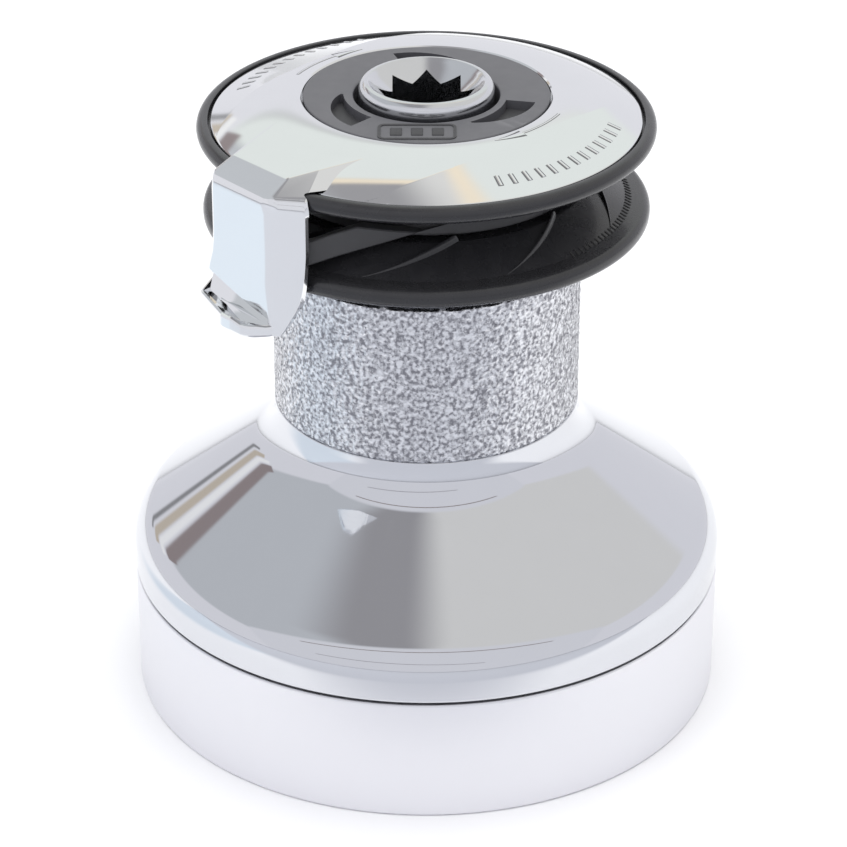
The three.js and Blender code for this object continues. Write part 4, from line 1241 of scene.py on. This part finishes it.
# ---------------------------------------------------------------- cap and spindle
@dataclass
class TopCap:
    """Matte cap with three finger slots and a plain badge frame."""

    bore: float = 18.4
    radius: float = 31.6
    top: float = 167.8

    def slot(self, turn: float) -> bmesh.types.BMesh:
        """One comma-shaped slot, as a cutter."""
        outer, inner, steps = [], [], 16
        for i in range(steps + 1):
            share = i / steps
            azimuth = 31.0 + turn + 47.0 * share
            outer.append(polar(21.9 + 6.2 * math.sin(math.pi / 2 * share) ** 0.9, azimuth))
            inner.append(polar(21.2 - 0.6 * share, azimuth))
        return raised_shape([*outer, *reversed(inner)], self.top - 2.4, self.top + 2.0)

    def badge(self) -> list[bpy.types.Object]:
        """Raised rounded frame with three plain bars inside.

        Returns:
            The frame and bars, dressed.
        """
        made = []
        left, right, front, back = -12.2, 7.4, -29.3, -19.9
        loops = []
        for inset in (0.0, 0.75):
            corners = [(left + inset, front + inset, 1.9 - inset), (right - inset, front + inset, 1.9 - inset),
                       (right - inset, back - inset, 1.9 - inset), (left + inset, back - inset, 1.9 - inset)]
            loops.append(eased_outline(corners, 6, 50))
        shape = bmesh.new()
        rings = []
        for loop, height in ((loops[0], -0.2), (loops[0], 0.22), (loops[1], 0.22), (loops[1], -0.2)):
            rings.append([shape.verts.new((x, y, self.top + height)) for x, y in loop])
        for k, ring in enumerate(rings):
            other = rings[(k + 1) % 4]
            for i in range(len(ring)):
                n = (i + 1) % len(ring)
                shape.faces.new((ring[i], ring[n], other[n], other[i]))
        bmesh.ops.recalc_face_normals(shape, faces=shape.faces)
        made.append(dress(as_object(shape, "badge_frame"), SLOT_SHADE))
        for i in range(3):
            middle = -7.6 + 5.2 * i
            bar = ball_hull([(middle + side, y, self.top - 0.1, 0.35) for side, y in
                             ((-1.2, -26.6), (1.2, -26.6), (1.2, -22.6), (-1.2, -22.6))], 2)
            made.append(dress(as_object(bar, f"badge_bar_{i}"), SLOT_SHADE))
        return made

    def build(self) -> None:
        """Turns the cap, cuts its slots and adds the badge."""
        cap = as_object(turned_shape(eased_outline([
            (17.9, 157.0, 0.0), (20.3, 157.0, 0.2), (20.3, 164.7, 0.0), (self.radius, 164.7, 0.2),
            (self.radius, self.top, 0.45), (self.bore + 0.3, self.top, 0.5), (self.bore, 160.0, 0.0),
            (17.9, 159.5, 0.0)], 6), 200), "top_cap_disc")
        carve(cap, [self.slot(turn) for turn in (0.0, 120.0, 240.0)], Carve.CUT, 30)
        dress(cap, CAP_PLASTIC)
        floors = []
        for turn in (0.0, 120.0, 240.0):
            floor = self.slot(turn)
            bmesh.ops.translate(floor, vec=(0, 0, -0.05), verts=floor.verts)
            for vert in floor.verts:
                if vert.co.z > self.top:
                    vert.co.z = self.top - 2.35
            floors.append(dress(as_object(floor, f"slot_floor_{turn:.0f}"), SLOT_SHADE))
        whole = merge("finger_cap", [cap, *floors, *self.badge()])
        fit(whole, "base", "cap_composite", "top_cap")


@dataclass
class SpindleHead:
    """Polished spindle head with an eight-pointed handle socket."""

    radius: float = 17.4
    lip: float = 15.0
    top: float = 171.6
    flats: float = 17.5
    floor: float = 136.0
    lead: float = 40.0

    def star(self, azimuth: float) -> float:
        """Radius of the socket's wall at an azimuth, two squares an eighth of a turn apart."""
        half = self.flats / 2
        reaches = []
        for offset in (0.0, 45.0):
            turn = math.radians((azimuth - offset + 45) % 90 - 45)
            reaches.append(half / math.cos(turn))
        return max(reaches)

    def build(self) -> None:
        """Turns the head and works the socket into it."""
        sides = 384
        outside = eased_outline([(0.0, 131.5, 0.0), (self.radius - 0.1, 131.5, 0.4), (self.radius, 168.6, 0.0),
                                 (self.radius - 0.35, self.top - 0.25, 2.3), (self.lip, self.top, 0.5),
                                 (self.lip - 1.2, self.top - 1.2, 0.0), (0.0, 140.0, 0.0)], 10)
        start = next(i for i, (r, _) in enumerate(outside) if r > 1)
        end = max(i for i, (r, z) in enumerate(outside) if abs(r - (self.lip - 1.2)) < 1e-6)
        outside = outside[start:end + 1]
        shape = bmesh.new()
        rows = []
        fall = math.tan(math.radians(self.lead))
        for i in range(sides):
            azimuth = 360 * i / sides
            wall = self.star(azimuth)
            first = outside[-1]
            row = list(outside)
            for k in range(1, 5):
                radius = first[0] + (wall - first[0]) * k / 4
                row.append((radius, first[1] - (first[0] - radius) * fall))
            edge = row[-1][1]
            row += [(wall, edge - 0.3), (wall, 155.0), (wall, self.floor + 0.3), (wall - 0.3, self.floor)]
            rows.append([shape.verts.new((*polar(r, azimuth), z)) for r, z in row])
        count = len(rows[0])
        for i in range(sides):
            here, on = rows[i], rows[(i + 1) % sides]
            for k in range(count - 1):
                shape.faces.new((here[k], on[k], on[k + 1], here[k + 1]))
        shape.faces.new([row[0] for row in rows])
        shape.faces.new([row[-1] for row in rows])
        bmesh.ops.recalc_face_normals(shape, faces=shape.faces)
        head = dress(as_object(shape, "spindle_head", 28), SPINDLE_STEEL)
        core = eased_outline([(0.0, 2.6, 0.0), (7.4, 2.6, 0.6), (7.4, 6.3, 0.0), (10.2, 6.3, 0.3),
                              (10.2, 131.8, 0.0), (0.0, 131.8, 0.0)])
        shaft = as_object(turned_shape(core, 96), "spindle_shaft")
        whole = merge("winch_spindle", [head, dress(shaft, SPINDLE_STEEL)])
        fit(whole, "spindle", "steel_shaft", "main_spindle")


# ---------------------------------------------------------------- inner works
NODE_FINISHES: dict[str, Finish] = {
    "base_flange": SATIN_COVER, "centre_stem": CAST_METAL, "stem_screw": PLAIN_STEEL,
    "spindle_bush": BEARING_NYLON, "shaft_bush": GEAR_BRONZE, "idler_pin": PLAIN_STEEL,
    "bearing_spacer": BEARING_NYLON, "arm_screw": PLAIN_STEEL, "stripper_screw": PLAIN_STEEL,
    "spindle_seal": SEAL_RUBBER, "ring_gear": GEAR_BRONZE, "jaw_screw": PLAIN_STEEL,
    "wave_spring": PLAIN_STEEL, "drum_bearing": BEARING_NYLON, "ratchet_gear": GEAR_BRONZE,
    "spindle_pawl": PLAIN_STEEL, "idler_gear": GEAR_BRONZE, "output_shaft": PLAIN_STEEL,
    "output_pinion": GEAR_BRONZE, "second_speed_gear": GEAR_BRONZE, "shaft_pawl": PLAIN_STEEL,
    "drum": MIRROR_CHROME, "upper_jaw": JAW_PLASTIC, "lower_jaw": JAW_PLASTIC, "feeder_arm": ARM_CHROME,
    "stripper": STRIPPER_PLASTIC, "top_cap": CAP_PLASTIC, "main_spindle": SPINDLE_STEEL}


def dress_inner_works() -> None:
    """Gives every CAD node the finish of its family, by the longest name that it starts with."""
    for name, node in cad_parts.items():
        family = max((key for key in NODE_FINISHES if name.startswith(key)), key=len)
        dress(node, NODE_FINISHES[family])
        LOG.info("%s: %s", name, NODE_FINISHES[family].name)


# ---------------------------------------------------------------- studio
@dataclass(frozen=True)
class Card:
    """One soft-edged panel of the room, seen in polished metal; two of the panels are painted reflection of the arm's
    foot.

    Azimuth is from the front towards the right, and elevation above the horizon, in degrees.
    """

    azimuth: float
    elevation: float
    half_width: float
    half_height: float
    colour: Colour
    soft: float = 0.03

    def paint(self, w: Wiring, way: bpy.types.NodeSocket, room: bpy.types.NodeSocket) -> bpy.types.NodeSocket:
        """Adds the panel over what the room shows so far.

        Args:
            w: Wiring of the room's tree.
            way: Socket of the direction looked in.
            room: Socket of the room's colour so far.

        Returns:
            The socket of the room's colour with the panel on it.
        """
        turn, rise = math.radians(self.azimuth), math.radians(self.elevation)
        facing = Vector((math.cos(rise) * math.sin(turn), -math.cos(rise) * math.cos(turn), math.sin(rise)))
        right = Vector((math.cos(turn), math.sin(turn), 0.0))
        reads = []
        for axis in (facing, right, facing.cross(right)):
            dot = w.add("ShaderNodeVectorMath", operation="DOT_PRODUCT")
            w.join(way, dot.inputs[0])
            dot.inputs[1].default_value = axis
            reads.append(dot.outputs["Value"])
        mask = w.sums("GREATER_THAN", reads[0], 0.02)
        for read, half in ((reads[1], self.half_width), (reads[2], self.half_height)):
            away = w.sums("ABSOLUTE", w.sums("DIVIDE", read, reads[0]))
            edge = math.tan(math.radians(half))
            fade = w.add("ShaderNodeMapRange", interpolation_type="SMOOTHSTEP")
            fade.inputs["From Min"].default_value = edge + self.soft
            fade.inputs["From Max"].default_value = max(edge - self.soft, 0.0)
            w.join(away, fade.inputs["Value"])
            mask = w.sums("MULTIPLY", mask, fade.outputs["Result"])
        return w.blend(mask, room, self.colour)


@dataclass
class Studio:
    """Pale floor, a painted room and soft lights round the winch.

    The floor is white under the winch. In front and to the left it is painted darker, painted reflection for the
    satin cover, the drum's walls and the arm's left face to mirror; its edges give the place that the paint starts
    and the place where it's full, in metres.
    """

    floor_size: float = 30.0
    below: Colour = (0.95, 0.95, 0.99)
    walls: Colour = (0.84, 0.84, 0.885)
    paper: Colour = (0.93, 0.93, 0.94)
    # Painted reflection colours of the floor in front and to the left.
    reflection_paint_front: Colour = (0.59, 0.6, 0.64)
    reflection_paint_left: Colour = (0.67, 0.73, 0.79)
    left_edge: Point = (-0.125, -0.175)
    back_edge: Point = (0.1, 0.02)
    front_edge: Point = (-0.105, -0.15)
    ceiling_left: Colour = (0.6, 0.62, 0.65)
    ceiling_middle: Colour = (0.38, 0.375, 0.39)
    ceiling_right: Colour = (0.79, 0.785, 0.77)
    cards: tuple[Card, ...] = (
        Card(180.0, 46.0, 27.0, 19.0, (0.86, 0.9, 0.875), 0.06),
        Card(180.0, 65.5, 24.0, 1.8, (1.0, 0.88, 0.7), 0.03),
        Card(0.0, 31.0, 62.0, 31.0, (0.8, 0.805, 0.85), 0.08),
        Card(0.0, 52.0, 40.0, 0.7, (0.2, 0.15, 0.13), 0.012),
        Card(-10.0, 20.0, 30.0, 0.5, (0.3, 0.28, 0.3), 0.01),
        Card(-139.0, 27.0, 12.0, 3.0, (0.33, 0.28, 0.28), 0.015),
        Card(-143.0, 21.5, 14.0, 1.4, (1.0, 1.0, 1.0), 0.012),
        Card(-146.0, 17.5, 12.0, 1.8, (0.62, 0.55, 0.46), 0.012),
        Card(-150.0, 13.0, 10.0, 1.0, (0.3, 0.3, 0.31), 0.012),
        # These two panels are painted reflection: the dark blob of the arm's foot seen in the bell's cone, and the
        # small bright highlight under it.
        Card(-77.0, 71.5, 0.45, 1.3, (0.1, 0.1, 0.105), 0.008),
        Card(-62.0, 76.5, 1.1, 0.7, (0.85, 0.86, 0.88), 0.012))

    def floor(self) -> None:
        """Lays the pale floor, with areas of painted reflection in front and to the left."""
        half = self.floor_size / 2 / MM
        shape = bmesh.new()
        shape.faces.new([shape.verts.new((x * half, y * half, -0.05)) for x, y in
                         ((-1, -1), (1, -1), (1, 1), (-1, 1))])
        floor = as_object(shape, "studio_floor")
        material = bpy.data.materials.new("studio_paper")
        material.use_nodes = True
        shader = material.node_tree.nodes["Principled BSDF"]
        shader.inputs["Roughness"].default_value = 0.9
        w = Wiring(material.node_tree)
        place = w.add("ShaderNodeSeparateXYZ")
        w.join(w.add("ShaderNodeTexCoord").outputs["Object"], place.inputs[0])
        # Darker paint in front and blue-grey paint to the left: painted reflection that the polished faces mirror.
        left = w.sums("MULTIPLY", self.ramp(w, place.outputs["X"], *self.left_edge),
                      self.ramp(w, place.outputs["Y"], *self.back_edge))
        colour = w.blend(left, self.paper, self.reflection_paint_left)
        colour = w.blend(self.ramp(w, place.outputs["Y"], *self.front_edge), colour, self.reflection_paint_front)
        w.join(colour, shader.inputs["Base Color"])
        floor.data.materials.append(material)

    def sky(self) -> None:
        """Paints the room: pale below, bright walls, a grey ceiling and the panels."""
        world = bpy.data.worlds.new("studio_room")
        bpy.context.scene.world = world
        world.use_nodes = True
        world.node_tree.nodes.clear()
        w = Wiring(world.node_tree)
        way = w.add("ShaderNodeTexCoord").outputs["Generated"]
        parts = w.add("ShaderNodeSeparateXYZ")
        w.join(way, parts.inputs[0])
        ceiling = w.blend(self.ramp(w, parts.outputs["X"], -0.52, -0.28), self.ceiling_left, self.ceiling_middle)
        ceiling = w.blend(self.ramp(w, parts.outputs["X"], -0.1, 0.12), ceiling, self.ceiling_right)
        room = w.blend(self.ramp(w, parts.outputs["Z"], -0.05, 0.05), self.below, self.walls)
        room = w.blend(self.ramp(w, parts.outputs["Z"], 0.41, 0.47), room, ceiling)
        for card in self.cards:
            room = card.paint(w, way, room)
        glow = w.add("ShaderNodeBackground")
        w.join(room, glow.inputs["Color"])
        w.join(glow.outputs[0], w.add("ShaderNodeOutputWorld").inputs["Surface"])

    def ramp(self, w: Wiring, value: bpy.types.NodeSocket, low: float, high: float) -> bpy.types.NodeSocket:
        """Eased 0..1 between two values.

        Args:
            w: Wiring of the tree.
            value: Socket to read.
            low: Value that gives 0.
            high: Value that gives 1.

        Returns:
            The eased socket.
        """
        node = w.add("ShaderNodeMapRange", interpolation_type="SMOOTHSTEP")
        node.inputs["From Min"].default_value = low
        node.inputs["From Max"].default_value = high
        w.join(value, node.inputs["Value"])
        return node.outputs["Result"]

    def lamp(self, name: str, place: Spot, aim: Spot, size: Point, power: float, tint: Colour,
             mirrored: bool = False) -> None:
        """Hangs one soft rectangular light.

        Args:
            name: Name of the light.
            place: Where it hangs, in metres.
            aim: What it points at, in metres.
            size: Width and height in metres.
            power: Power in watts.
            tint: Colour of the light.
            mirrored: Whether polished metal shows it.
        """
        data = bpy.data.lights.new(name, "AREA")
        data.shape = "RECTANGLE"
        data.size, data.size_y = size
        data.energy = power
        data.color = tint
        lamp = bpy.data.objects.new(name, data)
        lamp.location = place
        lamp.rotation_euler = (Vector(aim) - Vector(place)).to_track_quat("-Z", "Y").to_euler()
        lamp.visible_glossy = mirrored
        bpy.context.scene.collection.objects.link(lamp)

    def build(self) -> None:
        """Sets up the floor, sky and lights."""
        self.floor()
        self.sky()
        self.lamp("overhead", (0.0, 0.0, 2.2), (0, 0, 0), (2.6, 2.6), 37.0, (1.0, 1.0, 1.0))
        self.lamp("left_fill", (-1.3, -1.0, 0.9), (0, 0, 0.09), (1.0, 1.2), 5.0, (0.97, 0.98, 1.0))


@dataclass
class Viewpoint:
    """Camera in front of the winch, looking slightly down."""

    place: Spot = (-0.00078, -0.7912, 0.5006)
    pitch: float = 28.43
    lens: float = 142.7

    def build(self) -> None:
        """Makes the camera and hands it to the scene."""
        data = bpy.data.cameras.new("view_camera")
        data.lens = self.lens
        data.sensor_width = 36.0
        data.clip_start, data.clip_end = 0.01, 100.0
        data.dof.use_dof = False
        camera = bpy.data.objects.new("view_camera", data)
        camera.location = self.place
        camera.rotation_euler = (math.radians(90 - self.pitch), 0.0, 0.0)
        bpy.context.scene.collection.objects.link(camera)
        bpy.context.scene.camera = camera
        bpy.context.scene.view_settings.view_transform = "Standard"


LOWER_JAW = Jaw("lower_jaw_ring", "lower_jaw", "lower_jaw", 1, -107.6, (
    (33.3, 130.0, 0.4), (44.0, 130.0, 1.0), (53.6, 134.6, 1.0), (57.7, 134.9, 2.25), (57.7, 139.4, 2.25),
    (52.5, 140.0, 0.8), (42.0, 145.67, 0.8), (33.3, 145.87, 0.3)), (52.5, 140.0), 0.54)
UPPER_JAW = Jaw("upper_jaw_ring", "drum", "upper_jaw", -1, -70, (
    (28.6, 152.3, 0.3), (34.0, 152.3, 0.5), (42.0, 152.2, 1.2), (54.0, 157.7, 0.8), (58.8, 157.75, 2.2),
    (58.8, 162.15, 2.2), (55.9, 162.1, 0.3), (55.7, 160.2, 0.0), (28.6, 160.2, 0.0)), (54.0, 157.7), 0.475)


def main() -> None:
    """Builds the winch piece by piece, then the studio and the camera."""
    logging.basicConfig(level=logging.INFO, format="%(name)s %(message)s", stream=sys.stdout)
    Viewpoint().build()
    dress_inner_works()
    BaseCover().build()
    drum = Drum()
    drum.shell()
    drum.rope_grip()
    LOWER_JAW.build()
    UPPER_JAW.build()
    SizeTicks().build()
    FeederArm().build()
    RopeStripper().build()
    TopCap().build()
    SpindleHead().build()
    Studio().build()
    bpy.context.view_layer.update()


if __name__ == "__main__":
    main()
